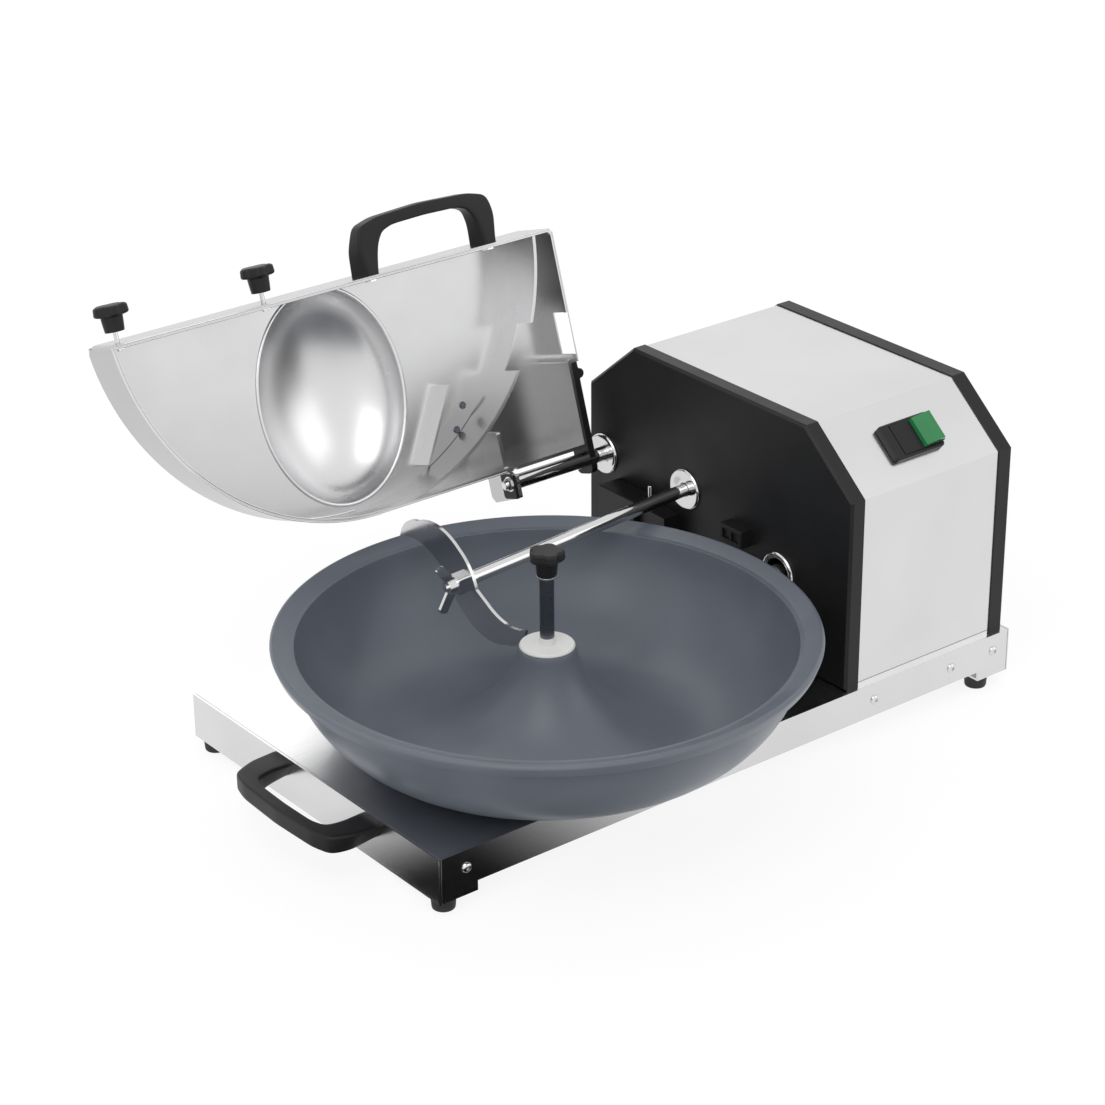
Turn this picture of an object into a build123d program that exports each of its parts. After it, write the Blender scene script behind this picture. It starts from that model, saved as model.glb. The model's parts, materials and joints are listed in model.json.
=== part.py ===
from build123d import *
from math import cos, hypot, pi, radians, sin, sqrt, tan
import os

os.makedirs("parts", exist_ok=True)

# Meat bowl cutter, millimetres. +X runs from the carrying handle to the motor
# housing, +Y to the cover hinge, +Z up. The origin is on the bench, in the
# middle of the machine's plan with the cover open.

# ---- Driving dimensions ----------------------------------------------------
fit = 0.05                # radial running clearance of a shaft in its bore
gap = 0.4                 # clearance between pieces that pass each other

# base
base_length = 640.0
base_width = 360.0
deck_top = 53.0           # top of the deck over the bench
sheet = 2.0               # stainless sheet of base and housing
foot_height = 12.0
foot_radius = 11.0
foot_in = 13.0            # front feet from the apron, all feet from the skirts
foot_in_rear = 27.0       # rear feet from the rear apron
skirt_bottom = 21.0       # lower edge of the side skirts
tab_length = 38.0         # deeper stretch of skirt over each foot
seam = 0.5                # hairline seam between folded sheets
screw_head_radius = 4.6
screw_head_height = 2.4
screw_level = 37.0
screw_stations = (27.0, 473.0, 567.0, 620.0)

# bow handle, used twice
handle_span = 160.0
handle_reach = 51.0
handle_depth = 16.0
handle_grip = 11.5
handle_leg = 30.5         # width of a leg where it meets the sheet
handle_keel = 10.0        # width of its keel there, behind the flat face
handle_taper = 30.0       # the keel runs out into the grip over this length
handle_in_y = 156.5       # middle of the front handle, from the right skirt
handle_drop = 3.0         # handle top below the deck
bolt_pitch = 129.0
bolt_radius = 3.0
bolt_head = 4.0

# motor housing
panel_at = 441.0          # front face of the front panel, from the front apron
panel_thick = 15.0
rear_panel_at = 617.0
rear_panel_thick = 17.0
housing_top = 284.0
housing_inset = 4.0       # panels stand inside the base skirts by this much
corner_across = 61.5
corner_down = 52.0
panel_bevel = 2.4
wrap_inset = 1.0
wrap_seam = 57.0          # lower edge of the stainless wrap
flange_radius = 19.5
flange_thick = 3.0

# bowl
bowl_in_x = 192.0         # bowl axis, from the front apron
bowl_in_y = 104.5         # bowl axis, from the right skirt
rim_radius = 230.5
rim_top = 154.0
rim_slope = 5.5           # the rim's top face falls inwards by this much
rim_face = 17.0           # width of the rim's top face
rim_corner = 3.0
trough_radius = 94.0      # inner radius of the trough's round section
trough_in = 116.5         # trough centre from the bowl axis
bowl_wall = 6.5
cone_top = 139.0          # top of the centre cone
hub_wall = 6.0
hub_length = 46.0
bushing_wall = 2.5
spindle_radius = 9.0
spindle_foot_radius = 30.0
spindle_foot_height = 2.2

# crown teeth under the rim and their pinion
saddle_length = 64.0
saddle_width = 104.0
saddle_height = 90.0
gearbox_side = 54.0
gearbox_corner = 6.0
gearbox_length = 34.0
gearmotor_radius = 25.0
gearmotor_length = 80.0
pinion_socket = 30.0       # the pinion shaft reaches this far into the gearbox
journal_front = 13.0       # its thick part stands this far out of the panel
journal_length = 22.0
crown_teeth = 240
pinion_teeth = 10
pinion_gaps = 2           # the drive stands this many tooth gaps right of the bowl's axis
crown_width = 9.0
crown_back = 1.6          # solid ring above the teeth
tooth_depth = 2.6
tooth_share = 0.42        # tooth thickness over tooth pitch
lip_drop = 11.0           # lip's lower edge, below the rim top
lip_wall = 1.1            # lip's thickness at its lower edge
rim_under = 6.8           # flange's underside, below the rim top
pinion_length = 7.0
pinion_shaft_radius = 4.5

# bowl clamp on the spindle
washer_radius = 23.7
washer_thick = 3.0
post_radius = 6.2
stud_length = 17.0
post_boss_radius = 6.6
post_boss_height = 6.0
post_top = 203.5
post_ring = 1.5
knob_radius = 15.5
knob_neck_radius = 10.0
knob_neck_height = 14.0
knob_head_height = 9.0
knob_lobes = 5

# knife and its inclined shaft
shaft_radius = 6.0
shaft_in_y = 218.5
shaft_level = 171.3       # shaft axis where it leaves the front panel
shaft_slope = 3.45        # degrees down towards the knife
knife_in_x = 190.0        # knife plane on the shaft axis, from the front apron
knife_radius = 89.0
knife_thick = 3.0
spacer_radius = 7.2
spacer_length = 10.0
square_end = 8.4
clamp_width = 15.0
clamp_length = 7.5
stud_radius = 3.0
wing_hub_radius = 7.0
wing_hub_length = 8.0
wing_reach = 23.0
wing_thick = 3.0
stud_show = 2.0
motor_radius = 62.0
motor_length = 118.0

# cover, measured in its own plane: s from the hinge axis, h out of the lid
cover_open = 108.0        # degrees from closed to the open rest
hinge_in_y = 334.0
hinge_level = 167.6
hinge_rod_radius = 7.0
hinge_nut_length = 6.5
cover_in_x = 186.0        # middle of the cover's arc, from the front apron
cover_s = 235.0           # arc centre from the hinge axis
cover_radius = 223.0
cover_edge = 216.0        # straight edge from the hinge axis
cover_rim = -7.0          # rim plane under the hinge axis, cover closed
cover_depth = 45.5
cover_sheet = 1.6
hem = 3.2
cover_side_at = 428.0     # right-hand wall, from the front apron
cover_corner = 8.0
cover_crease = 3.0        # rounding between lid and walls
cover_step_s = 91.0       # below this the right-hand wall stands further in
cover_step = 9.0
notch_low = 98.0          # mouth for the knife shaft in both right-hand walls
notch_high = 137.0
notch_deep = 22.5
bead = 1.4                # raised bead round the dome's mouth
bead_width = 2.4
bracket_thick = 1.6
bracket_rise = 16.0
rivet_radius = 3.2
rivet_rise = 1.2
dome_in_x = 189.0         # dome's mouth, an ellipse in the lid
dome_s = 117.2
dome_half_x = 73.6
dome_half_s = 95.5
dome_rise = 46.0          # inside depth over the lid's inner face
lug_at = 333.0
lug_thick = 4.0
lug_tail = 14.0           # lugs reach this far past the hinge axis
lug_top = 47.0
lug_pad_thick = 3.0
lug_pad_s = 8.0           # the pad ends this far out from the hinge axis
lug_pad_h = 12.0
side_plate_thick = 6.5
side_plate_deep = 24.0
presser_in_x = 430.0      # nib on the side plate that meets the interlock pin
presser_s = 79.0
presser_radius = 4.5
presser_h = -2.0          # nib's end face
presser_length = 12.0
cover_handle_at = 297.0
cover_handle_h = 12.0     # flat face of the handle
cover_knob_in = 13.2       # first knob, from the straight edge's end
cover_knob_pitch = 145.0
cover_knob_h = 5.0
cover_stud_radius = 2.1
cover_stud_rise = 10.0    # knob neck over the straight edge
nut_plate = 9.0
nut_plate_deep = 7.0
nut_plate_thick = 3.4

# rocker switch on the housing's right-hand bevel
switch_at = 535.0
switch_down = 40.5        # switch middle below the bevel's upper edge
switch_length = 58.0
switch_width = 35.0
switch_rise = 5.5
switch_corner = 3.5
rocker_offset = 4.6
rocker_length = 44.0
rocker_width = 29.0
rocker_low = 2.8
rocker_thick = 3.7
rocker_lip = 1.6          # the rocker's ends stand over its middle by this much
rocker_tilt = 6.0         # degrees either side of level
rocker_pivot = 1.2
lens_rise = 3.6

# cover interlock and bowl sensor on the front panel
interlock_depth = 24.0
interlock_from = 263.0
interlock_length = 50.0
interlock_top = 150.0
interlock_height = 38.0
interlock_side = 36.0     # lower block beside it, under the knife shaft
interlock_side_depth = 18.0
interlock_side_drop = 6.0
interlock_pin_radius = 2.2
interlock_travel = 4.0
sensor_from = 130.0
sensor_width = 29.5
sensor_low = 147.0
sensor_height = 16.0
sensor_depth = 11.5
sensor_window = 9.5
sensor_window_height = 9.0

# ---- Places worked out from them -------------------------------------------
lean = radians(cover_open - 90.0)
slope = radians(shaft_slope)
shaft_fall = (panel_at - knife_in_x) * tan(slope)
knife_level = shaft_level - shaft_fall
lid_h = cover_rim + cover_depth
lid_inside = lid_h - cover_sheet
dome_out = hypot((dome_half_s + cover_sheet) * sin(lean), (dome_rise + cover_sheet) * cos(lean))
cover_back = hinge_in_y + dome_s * sin(lean) + lid_inside * cos(lean) + dome_out
front_x = -(base_length - handle_reach) / 2.0
right_y = -(bowl_in_y - rim_radius + cover_back) / 2.0
cover_half = sqrt(cover_radius**2 - (cover_s - cover_edge) ** 2)
first_knob = cover_in_x - cover_half + cover_knob_in
cover_knob_stations = (first_knob, first_knob + cover_knob_pitch)

rear_x = front_x + base_length
left_y = right_y + base_width
panel_x = front_x + panel_at
rear_panel_x = front_x + rear_panel_at
bowl_x = front_x + bowl_in_x
bowl_y = right_y + bowl_in_y
shaft_y = right_y + shaft_in_y
hinge_y = right_y + hinge_in_y
trough_level = knife_level
lip_bottom = rim_top - lip_drop
crown_outer = rim_radius - rim_corner - lip_wall
crown_inner = crown_outer - crown_width
crown_mean = (crown_outer + crown_inner) / 2.0
tooth_pitch = 2.0 * pi * crown_mean / crown_teeth
pinion_radius = crown_mean * pinion_teeth / crown_teeth
crown_root = rim_top - rim_under - crown_back
crown_tip = crown_root - tooth_depth
pinion_tip = pinion_radius + tooth_depth / 2.0 - 0.3
pinion_root = pinion_radius - tooth_depth / 2.0 - 0.3
pinion_z = crown_tip + tooth_depth / 2.0 - pinion_radius
pinion_x = bowl_x + crown_inner + 1.0
pinion_y = bowl_y - crown_mean * sin(2.0 * pi * pinion_gaps / crown_teeth)

# planes: the knife's own, looking from the knife to the motor, and the cover's
shaft_direction = Vector(cos(slope), 0, sin(slope))
knife_origin = Vector(front_x + knife_in_x, shaft_y, knife_level)
knife_plane = Plane(knife_origin, x_dir=(0, 1, 0), z_dir=shaft_direction)
cover_plane = Plane((0, hinge_y, hinge_level), x_dir=(1, 0, 0), z_dir=(0, cos(lean), sin(-lean)))


def save(piece, name):
    """Label a finished piece and write it under its own name."""
    piece.label = name
    export_step(piece, f"parts/{name}.step")


# ---- Base ------------------------------------------------------------------
plate_x = front_x + sheet + seam
plate_length = rear_x - sheet - seam - plate_x
foot_x = (front_x + foot_in, rear_x - foot_in_rear)
foot_y = (right_y + foot_in, left_y - foot_in)
foot_places = [(x, y) for x in foot_x for y in foot_y]
pad = 2.0 * foot_radius

with BuildPart() as base_tray:
    with BuildSketch(Plane.XY.offset(deck_top - sheet)):
        with Locations((plate_x + plate_length / 2.0, (right_y + left_y) / 2.0)):
            Rectangle(plate_length, base_width)
    extrude(amount=sheet)
    for side_y in (right_y, left_y - sheet):
        with BuildSketch(Plane.XZ.offset(-side_y)):
            with BuildLine():
                Polyline(
                    (plate_x, deck_top - sheet),
                    (plate_x, foot_height),
                    (front_x + tab_length, foot_height),
                    (front_x + tab_length, skirt_bottom),
                    (rear_x - tab_length, skirt_bottom),
                    (rear_x - tab_length, foot_height),
                    (plate_x + plate_length, foot_height),
                    (plate_x + plate_length, deck_top - sheet),
                    close=True,
                )
            make_face()
        extrude(amount=-sheet)
    with BuildSketch(Plane.XY.offset(foot_height)):
        with Locations(*foot_places):
            Rectangle(pad, pad)
    extrude(amount=sheet)
save(base_tray.part, "base_tray")


def apron(face_x):
    """An end apron: a plate across the base with a return along its lower edge."""
    inward = 1 if face_x < 0 else -1
    with BuildPart() as plate:
        with BuildSketch(Plane.YZ.offset(face_x)):
            with Locations(((right_y + left_y) / 2.0, (deck_top + foot_height) / 2.0)):
                Rectangle(base_width, deck_top - foot_height)
        extrude(amount=inward * sheet)
        with BuildSketch(Plane.XY.offset(foot_height)):
            with Locations((face_x + inward * tab_length / 4.0, (right_y + left_y) / 2.0)):
                Rectangle(tab_length / 2.0, base_width - 4.0 * foot_in)
        extrude(amount=sheet)
        outer = plate.edges().filter_by(Axis.Z).group_by(Axis.X)[0 if inward > 0 else -1]
        fillet(outer, sheet * 0.6)
    return plate.part


save(apron(front_x), "front_apron")
save(apron(rear_x), "rear_apron")

foot_names = ("front_right", "front_left", "rear_right", "rear_left")
for foot_name, place in zip(foot_names, foot_places):
    with BuildPart() as foot:
        with BuildSketch():
            with Locations(place):
                Circle(foot_radius * 0.86)
        with BuildSketch(Plane.XY.offset(foot_height)):
            with Locations(place):
                Circle(foot_radius)
        loft()
        fillet(foot.edges().sort_by(Axis.Z)[0], 1.0)
    save(foot.part, f"foot_{foot_name}")

with BuildPart() as skirt_screws:
    for side_y, outward in ((right_y, -1), (left_y, 1)):
        for station in screw_stations:
            head_plane = Plane((front_x + station, side_y, screw_level), z_dir=(0, outward, 0))
            with BuildSketch(head_plane):
                Circle(screw_head_radius)
            extrude(amount=screw_head_height, taper=38)
save(skirt_screws.part, "skirt_screws")


# ---- Bow handles -----------------------------------------------------------
def bow_envelope(seat):
    """What a bow stays within: keeled legs behind a flat face, and the whole grip."""
    root = Plane(seat.origin, x_dir=seat.x_dir, z_dir=seat.y_dir)
    with BuildPart() as envelope:
        for side in (-1, 1):
            outer = side * handle_span / 2.0
            inner = outer - side * handle_leg
            keel = side * bolt_pitch / 2.0
            with BuildSketch(root):
                Polygon(
                    (outer, 0),
                    (inner, 0),
                    (keel - side * handle_keel / 2.0, handle_depth),
                    (keel + side * handle_keel / 2.0, handle_depth),
                    align=None,
                )
            with BuildSketch(root.offset(handle_taper)):
                Polygon(
                    (outer, 0),
                    (inner - side * handle_keel, 0),
                    (inner - side * handle_keel, handle_depth),
                    (outer, handle_depth),
                    align=None,
                )
            loft(ruled=True)
        with BuildSketch(root.offset(handle_taper)):
            Rectangle(handle_span, handle_depth, align=(Align.CENTER, Align.MIN))
        extrude(amount=handle_reach)
    return envelope.part


def bow_handle(seat):
    """A moulded bow behind its seat's face: x runs along it, y away from the sheet."""
    half = handle_span / 2.0
    inner_half = half - handle_leg
    top = handle_reach - handle_grip
    envelope = bow_envelope(seat)
    with BuildPart() as bow:
        with BuildSketch(seat):
            with BuildLine():
                outer = FilletPolyline(
                    (-half, 0),
                    (-half + 3, handle_reach * 0.5),
                    (-half + 9, handle_reach),
                    (half - 9, handle_reach),
                    (half - 3, handle_reach * 0.5),
                    (half, 0),
                    radius=[60, 18, 18, 60],
                )
                inner = FilletPolyline(
                    (inner_half, 0),
                    (inner_half + 2.5, top),
                    (-inner_half - 2.5, top),
                    (-inner_half, 0),
                    radius=12,
                )
                Line(outer @ 1, inner @ 0)
                Line(inner @ 1, outer @ 0)
            make_face()
        extrude(amount=-handle_depth)
        back = [e for e in bow.edges() if seat.to_local_coords(e.center()).Y > top - 2.0]
        chamfer(ShapeList(back), 1.6)
        add(envelope, mode=Mode.INTERSECT)
    return bow.part


front_seat = Plane(
    (front_x, right_y + handle_in_y, deck_top - handle_drop),
    x_dir=(0, 1, 0),
    z_dir=(0, 0, 1),
)
cover_seat = Plane(
    cover_plane.from_local_coords((front_x + cover_handle_at, -cover_edge, cover_handle_h)),
    x_dir=(-1, 0, 0),
    z_dir=cover_plane.z_dir,
)
edge_plane = Plane(
    cover_plane.from_local_coords((front_x, -cover_edge, cover_knob_h)),
    x_dir=(1, 0, 0),
    z_dir=-cover_plane.y_dir,
)


def handle_bolts(seat, length):
    """The two bolt heads behind a handle, inside the sheet that carries it."""
    with BuildPart() as bolts:
        back = Plane(seat.from_local_coords((0, -length, 0)), x_dir=seat.x_dir, z_dir=seat.y_dir)
        with BuildSketch(back.offset(-bolt_head)):
            with Locations((0, handle_depth / 2.0)):
                with GridLocations(bolt_pitch, 0, 2, 1):
                    RegularPolygon(bolt_radius * 1.9, 6)
        extrude(amount=bolt_head)
    return bolts.part


save(bow_handle(front_seat), "front_handle")
save(bow_handle(cover_seat), "cover_handle")
save(handle_bolts(front_seat, sheet), "front_handle_bolts")
save(handle_bolts(cover_seat, cover_sheet), "cover_handle_bolts")


# ---- Motor housing ---------------------------------------------------------
def housing_outline(inset, bottom):
    """Corner points of the housing's six-sided section, in Y and Z."""
    right = right_y + housing_inset + inset
    left = left_y - housing_inset - inset
    top = housing_top - inset
    ease = inset * 0.42
    return [
        (right, bottom),
        (right, housing_top - corner_down - ease),
        (right + corner_across - ease, top),
        (left - corner_across + ease, top),
        (left, housing_top - corner_down - ease),
        (left, bottom),
    ]


shaft_at_panel = Location((shaft_y, shaft_level + panel_thick * tan(slope) / 2.0))
with BuildPart() as housing_front_panel:
    with BuildSketch(Plane.YZ.offset(panel_x)):
        Polygon(*housing_outline(0, deck_top), align=None)
    extrude(amount=panel_thick)
    chamfer(housing_front_panel.faces().sort_by(Axis.X)[0].edges(), panel_bevel)
    with BuildSketch(Plane.YZ.offset(panel_x)):
        with Locations(shaft_at_panel):
            Circle(shaft_radius + 2.0)
        with Locations((hinge_y, hinge_level)):
            Circle(hinge_rod_radius)
        with Locations((pinion_y, pinion_z)):
            Circle(flange_radius - 5.5)
    extrude(amount=panel_thick, mode=Mode.SUBTRACT)
save(housing_front_panel.part, "housing_front_panel")

with BuildPart() as housing_rear_panel:
    with BuildSketch(Plane.YZ.offset(rear_panel_x)):
        Polygon(*housing_outline(0, deck_top), align=None)
    extrude(amount=rear_panel_thick)
    chamfer(housing_rear_panel.faces().sort_by(Axis.X)[-1].edges(), panel_bevel)
save(housing_rear_panel.part, "housing_rear_panel")

wrap_x = panel_x + panel_thick
wrap_length = rear_panel_x - wrap_x
with BuildPart() as housing_wrap:
    with BuildSketch(Plane.YZ.offset(wrap_x)):
        Polygon(*housing_outline(wrap_inset, wrap_seam + seam), align=None)
        Polygon(*housing_outline(wrap_inset + sheet, wrap_seam), align=None, mode=Mode.SUBTRACT)
    extrude(amount=wrap_length)
save(housing_wrap.part, "housing_wrap")

with BuildPart() as housing_sills:
    with BuildSketch(Plane.YZ.offset(wrap_x)):
        edge = housing_inset + wrap_inset
        for y, side in ((right_y + edge, 1), (left_y - edge, -1)):
            with Locations((y + side * sheet / 2.0, (deck_top + wrap_seam) / 2.0)):
                Rectangle(sheet, wrap_seam - deck_top)
            with Locations((y + side * 8.0, deck_top + sheet / 2.0)):
                Rectangle(16.0, sheet)
    extrude(amount=wrap_length)
save(housing_sills.part, "housing_sills")


def wall_flange(y, z, bore):
    """A chrome ring screwed flat on the front panel."""
    with BuildPart() as ring:
        with BuildSketch(Plane.YZ.offset(panel_x)):
            with Locations((y, z)):
                Circle(flange_radius)
                Circle(bore, mode=Mode.SUBTRACT)
        extrude(amount=-flange_thick)
        rim = ring.faces().sort_by(Axis.X)[0].edges().sort_by(SortBy.LENGTH)[-1]
        fillet(rim, flange_thick * 0.4)
    return ring.part


save(wall_flange(hinge_y, hinge_level, hinge_rod_radius), "hinge_flange")
save(wall_flange(shaft_y, shaft_level, shaft_radius + gap), "shaft_flange")
save(wall_flange(pinion_y, pinion_z, flange_radius - 5.5), "drive_flange")

rod_end_x = front_x + lug_at - lug_pad_thick - gap
with BuildPart() as hinge_rod:
    with BuildSketch(Plane.YZ.offset(rod_end_x)):
        with Locations((hinge_y, hinge_level)):
            Circle(hinge_rod_radius)
    extrude(amount=wrap_x - rod_end_x)
save(hinge_rod.part, "hinge_rod")

with BuildPart() as hinge_rod_nut:
    with BuildSketch(Plane.YZ.offset(rod_end_x)):
        with Locations((hinge_y, hinge_level)):
            RegularPolygon(hinge_rod_radius * 0.8, 6)
    extrude(amount=-hinge_nut_length * 0.5)
    with BuildSketch(Plane.YZ.offset(rod_end_x - hinge_nut_length * 0.5)):
        with Locations((hinge_y, hinge_level)):
            Circle(hinge_rod_radius * 0.66)
    extrude(amount=-hinge_nut_length * 0.5)
    fillet(hinge_rod_nut.edges().sort_by(Axis.X)[0], hinge_nut_length * 0.4)
save(hinge_rod_nut.part, "hinge_rod_nut")

# ---- Motor and bowl drive, inside the housing ------------------------------
motor_start = (panel_at + panel_thick - knife_in_x) / cos(slope) + motor_radius * tan(slope) + gap
with BuildPart() as motor:
    with BuildSketch(knife_plane.offset(motor_start)):
        Circle(motor_radius)
    extrude(amount=motor_length)
    chamfer(motor.edges().filter_by(GeomType.CIRCLE), 4.0)
    with BuildSketch(knife_plane.offset(motor_start)):
        Circle(shaft_radius + fit)
    extrude(amount=motor_length, mode=Mode.SUBTRACT)
save(motor.part, "motor")

saddle_x = knife_origin.X + (motor_start + motor_length / 2.0) * cos(slope)
with BuildPart() as motor_saddle:
    with BuildSketch(Plane.XY.offset(deck_top)):
        with Locations((saddle_x, shaft_y)):
            Rectangle(saddle_length, saddle_width)
    extrude(amount=saddle_height)
    with BuildSketch(knife_plane.offset(motor_start - saddle_length)):
        Circle(motor_radius + 0.2)
    extrude(amount=motor_length + 2.0 * saddle_length, mode=Mode.SUBTRACT)
save(motor_saddle.part, "motor_saddle")

with BuildPart() as bowl_gearmotor:
    with BuildSketch(Plane.YZ.offset(wrap_x)):
        with Locations((pinion_y, pinion_z)):
            RectangleRounded(gearbox_side, gearbox_side, gearbox_corner)
    extrude(amount=gearbox_length)
    with BuildSketch(Plane.YZ.offset(wrap_x + gearbox_length)):
        with Locations((pinion_y, pinion_z)):
            Circle(gearmotor_radius)
    extrude(amount=gearmotor_length)
    with BuildSketch(Plane.YZ.offset(wrap_x)):
        with Locations((pinion_y, pinion_z)):
            Circle(pinion_shaft_radius + fit)
    extrude(amount=pinion_socket, mode=Mode.SUBTRACT)
save(bowl_gearmotor.part, "bowl_gearmotor")

with BuildPart() as pinion_shaft:
    with BuildSketch(Plane.YZ.offset(pinion_x)):
        with Locations((pinion_y, pinion_z)):
            Circle(pinion_shaft_radius)
    extrude(amount=wrap_x + pinion_socket - gap - pinion_x)
    with BuildSketch(Plane.YZ.offset(panel_x - journal_front)):
        with Locations((pinion_y, pinion_z)):
            Circle(pinion_shaft_radius * 1.9)
    extrude(amount=journal_length)
save(pinion_shaft.part, "pinion_shaft")

with BuildPart() as bowl_pinion:
    with BuildSketch(Plane.YZ.offset(pinion_x)):
        with Locations((pinion_y, pinion_z)):
            Circle(pinion_root)
            with PolarLocations(0, pinion_teeth, start_angle=90):
                with Locations((pinion_tip - 2.0, 0)):
                    Trapezoid(tooth_pitch * tooth_share * 1.25, 4.0, 78, rotation=-90)
        with Locations((pinion_y, pinion_z)):
            Circle(pinion_shaft_radius, mode=Mode.SUBTRACT)
    extrude(amount=pinion_length)
save(bowl_pinion.part, "bowl_pinion")

# ---- Spindle and bowl ------------------------------------------------------
bowl_axis = Plane((bowl_x, bowl_y, 0), x_dir=(1, 0, 0), z_dir=(0, -1, 0))
turn = Axis((bowl_x, bowl_y, 0), (0, 0, 1))
bushing_radius = spindle_radius + bushing_wall
hub_radius = bushing_radius + hub_wall
hub_bottom = cone_top - hub_length
outer_trough = trough_radius + bowl_wall


def across(radius, level):
    """Half the chord of a trough circle at a level."""
    return sqrt(radius**2 - (level - trough_level) ** 2)


with BuildPart() as bowl_spindle:
    with BuildSketch(bowl_axis):
        with BuildLine():
            Polyline(
                (0, deck_top),
                (spindle_foot_radius, deck_top),
                (spindle_foot_radius, deck_top + spindle_foot_height),
                (hub_radius, deck_top + spindle_foot_height),
                (hub_radius - 2.0, hub_bottom - 0.3),
                (spindle_radius, hub_bottom - 0.3),
                (spindle_radius, cone_top - 1.0),
                (stud_radius + fit, cone_top - 1.0),
                (stud_radius + fit, cone_top - stud_length - gap),
                (0, cone_top - stud_length - gap),
                close=True,
            )
        make_face()
    revolve(axis=turn)
save(bowl_spindle.part, "bowl_spindle")

rim_inner = rim_radius - rim_face
step_level = rim_top - rim_slope
cone_edge = trough_in - across(trough_radius, cone_top)
under_cone = cone_top - 9.0
with BuildPart() as bowl:
    with BuildSketch(bowl_axis):
        with BuildLine():
            inside_end = (trough_in + across(trough_radius, step_level), step_level)
            outside_start = (trough_in + across(outer_trough, rim_top - rim_under), rim_top - rim_under)
            outside_end = (trough_in - across(outer_trough, under_cone), under_cone)
            Line((bushing_radius, cone_top), (cone_edge, cone_top))
            ThreePointArc((cone_edge, cone_top), (trough_in, trough_level - trough_radius), inside_end)
            Polyline(
                inside_end,
                (rim_inner, step_level),
                (rim_radius - rim_corner, rim_top),
                (rim_radius - rim_corner / 3.0, rim_top - rim_corner / 3.0),
                (rim_radius, rim_top - rim_corner),
                (rim_radius - rim_corner, lip_bottom),
                (crown_outer, lip_bottom),
                (crown_outer, rim_top - rim_under),
                outside_start,
            )
            ThreePointArc(outside_start, (trough_in, trough_level - outer_trough), outside_end)
            Polyline(
                outside_end,
                (hub_radius, under_cone),
                (hub_radius, hub_bottom),
                (bushing_radius, hub_bottom),
                (bushing_radius, cone_top),
            )
        make_face()
    revolve(axis=turn)
save(bowl.part, "bowl")

with BuildPart() as bowl_crown:
    crown_plane = Plane((bowl_x, bowl_y, crown_root))
    with BuildSketch(crown_plane):
        Circle(crown_outer - fit)
        Circle(crown_inner, mode=Mode.SUBTRACT)
    extrude(amount=crown_back)
    with BuildSketch(crown_plane):
        with PolarLocations(crown_mean, crown_teeth, start_angle=180.0 / crown_teeth):
            Rectangle(crown_width - 0.4, tooth_pitch * tooth_share)
    extrude(amount=-tooth_depth)
save(bowl_crown.part, "bowl_crown")

with BuildPart() as bowl_bushing:
    with BuildSketch(Plane((bowl_x, bowl_y, hub_bottom))):
        Circle(bushing_radius)
        Circle(spindle_radius + fit, mode=Mode.SUBTRACT)
    extrude(amount=hub_length - 1.0)
save(bowl_bushing.part, "bowl_bushing")

with BuildPart() as bowl_washer:
    with BuildSketch(Plane((bowl_x, bowl_y, cone_top))):
        Circle(washer_radius)
        Circle(stud_radius + gap, mode=Mode.SUBTRACT)
    extrude(amount=washer_thick)
    fillet(bowl_washer.edges().group_by(Axis.Z)[-1].sort_by(SortBy.LENGTH)[-1], 1.2)
save(bowl_washer.part, "bowl_washer")

post_foot = cone_top + washer_thick
with BuildPart() as clamp_post_boss:
    with BuildSketch(Plane((bowl_x, bowl_y, post_foot))):
        Circle(post_boss_radius)
        Circle(stud_radius, mode=Mode.SUBTRACT)
    extrude(amount=post_boss_height)
save(clamp_post_boss.part, "clamp_post_boss")

with BuildPart() as clamp_post:
    with BuildSketch(Plane((bowl_x, bowl_y, post_foot + post_boss_height))):
        Circle(post_radius)
    extrude(amount=post_top - post_foot - post_boss_height)
    with BuildSketch(Plane((bowl_x, bowl_y, cone_top - stud_length))):
        Circle(stud_radius)
    extrude(amount=stud_length + washer_thick + post_boss_height)
save(clamp_post.part, "clamp_post")

with BuildPart() as clamp_post_washer:
    with BuildSketch(Plane((bowl_x, bowl_y, post_top))):
        Circle(knob_neck_radius * 0.85)
    extrude(amount=post_ring)
save(clamp_post_washer.part, "clamp_post_washer")


def star_knob(seat, bore=0.0):
    """A lobed knob standing on its neck: lobes, a domed top and a tapered neck."""
    with BuildPart() as knob:
        with BuildSketch(seat):
            Circle(knob_neck_radius * 0.85)
        with BuildSketch(seat.offset(knob_neck_height)):
            Circle(knob_neck_radius)
        loft()
        with BuildSketch(seat.offset(knob_neck_height)):
            Circle(knob_radius * 0.78)
            with PolarLocations(knob_radius * 0.70, knob_lobes, start_angle=18):
                Circle(knob_radius * 0.30)
        extrude(amount=knob_head_height, taper=4)
        top = knob.faces().sort_by(lambda f: seat.to_local_coords(f.center()).Z)[-1]
        chamfer(top.edges(), 1.4)
        if bore > 0:
            with BuildSketch(seat):
                Circle(bore)
            extrude(amount=knob_neck_height, mode=Mode.SUBTRACT)
    return knob.part


save(star_knob(Plane((bowl_x, bowl_y, post_top + post_ring))), "clamp_knob")

# ---- Knife on its inclined shaft -------------------------------------------
shaft_end = motor_start + motor_length - 12.0
half_knife = knife_thick / 2.0
wing_seat = -(half_knife + clamp_length)
with BuildPart() as knife_shaft:
    with BuildSketch(knife_plane.offset(half_knife)):
        Circle(shaft_radius)
    extrude(amount=shaft_end - half_knife)
    with BuildSketch(knife_plane.offset(half_knife)):
        Rectangle(square_end, square_end)
    extrude(amount=-(knife_thick + clamp_length))
    with BuildSketch(knife_plane.offset(wing_seat)):
        Circle(stud_radius)
    extrude(amount=-(wing_hub_length + stud_show))
save(knife_shaft.part, "knife_shaft")

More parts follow.
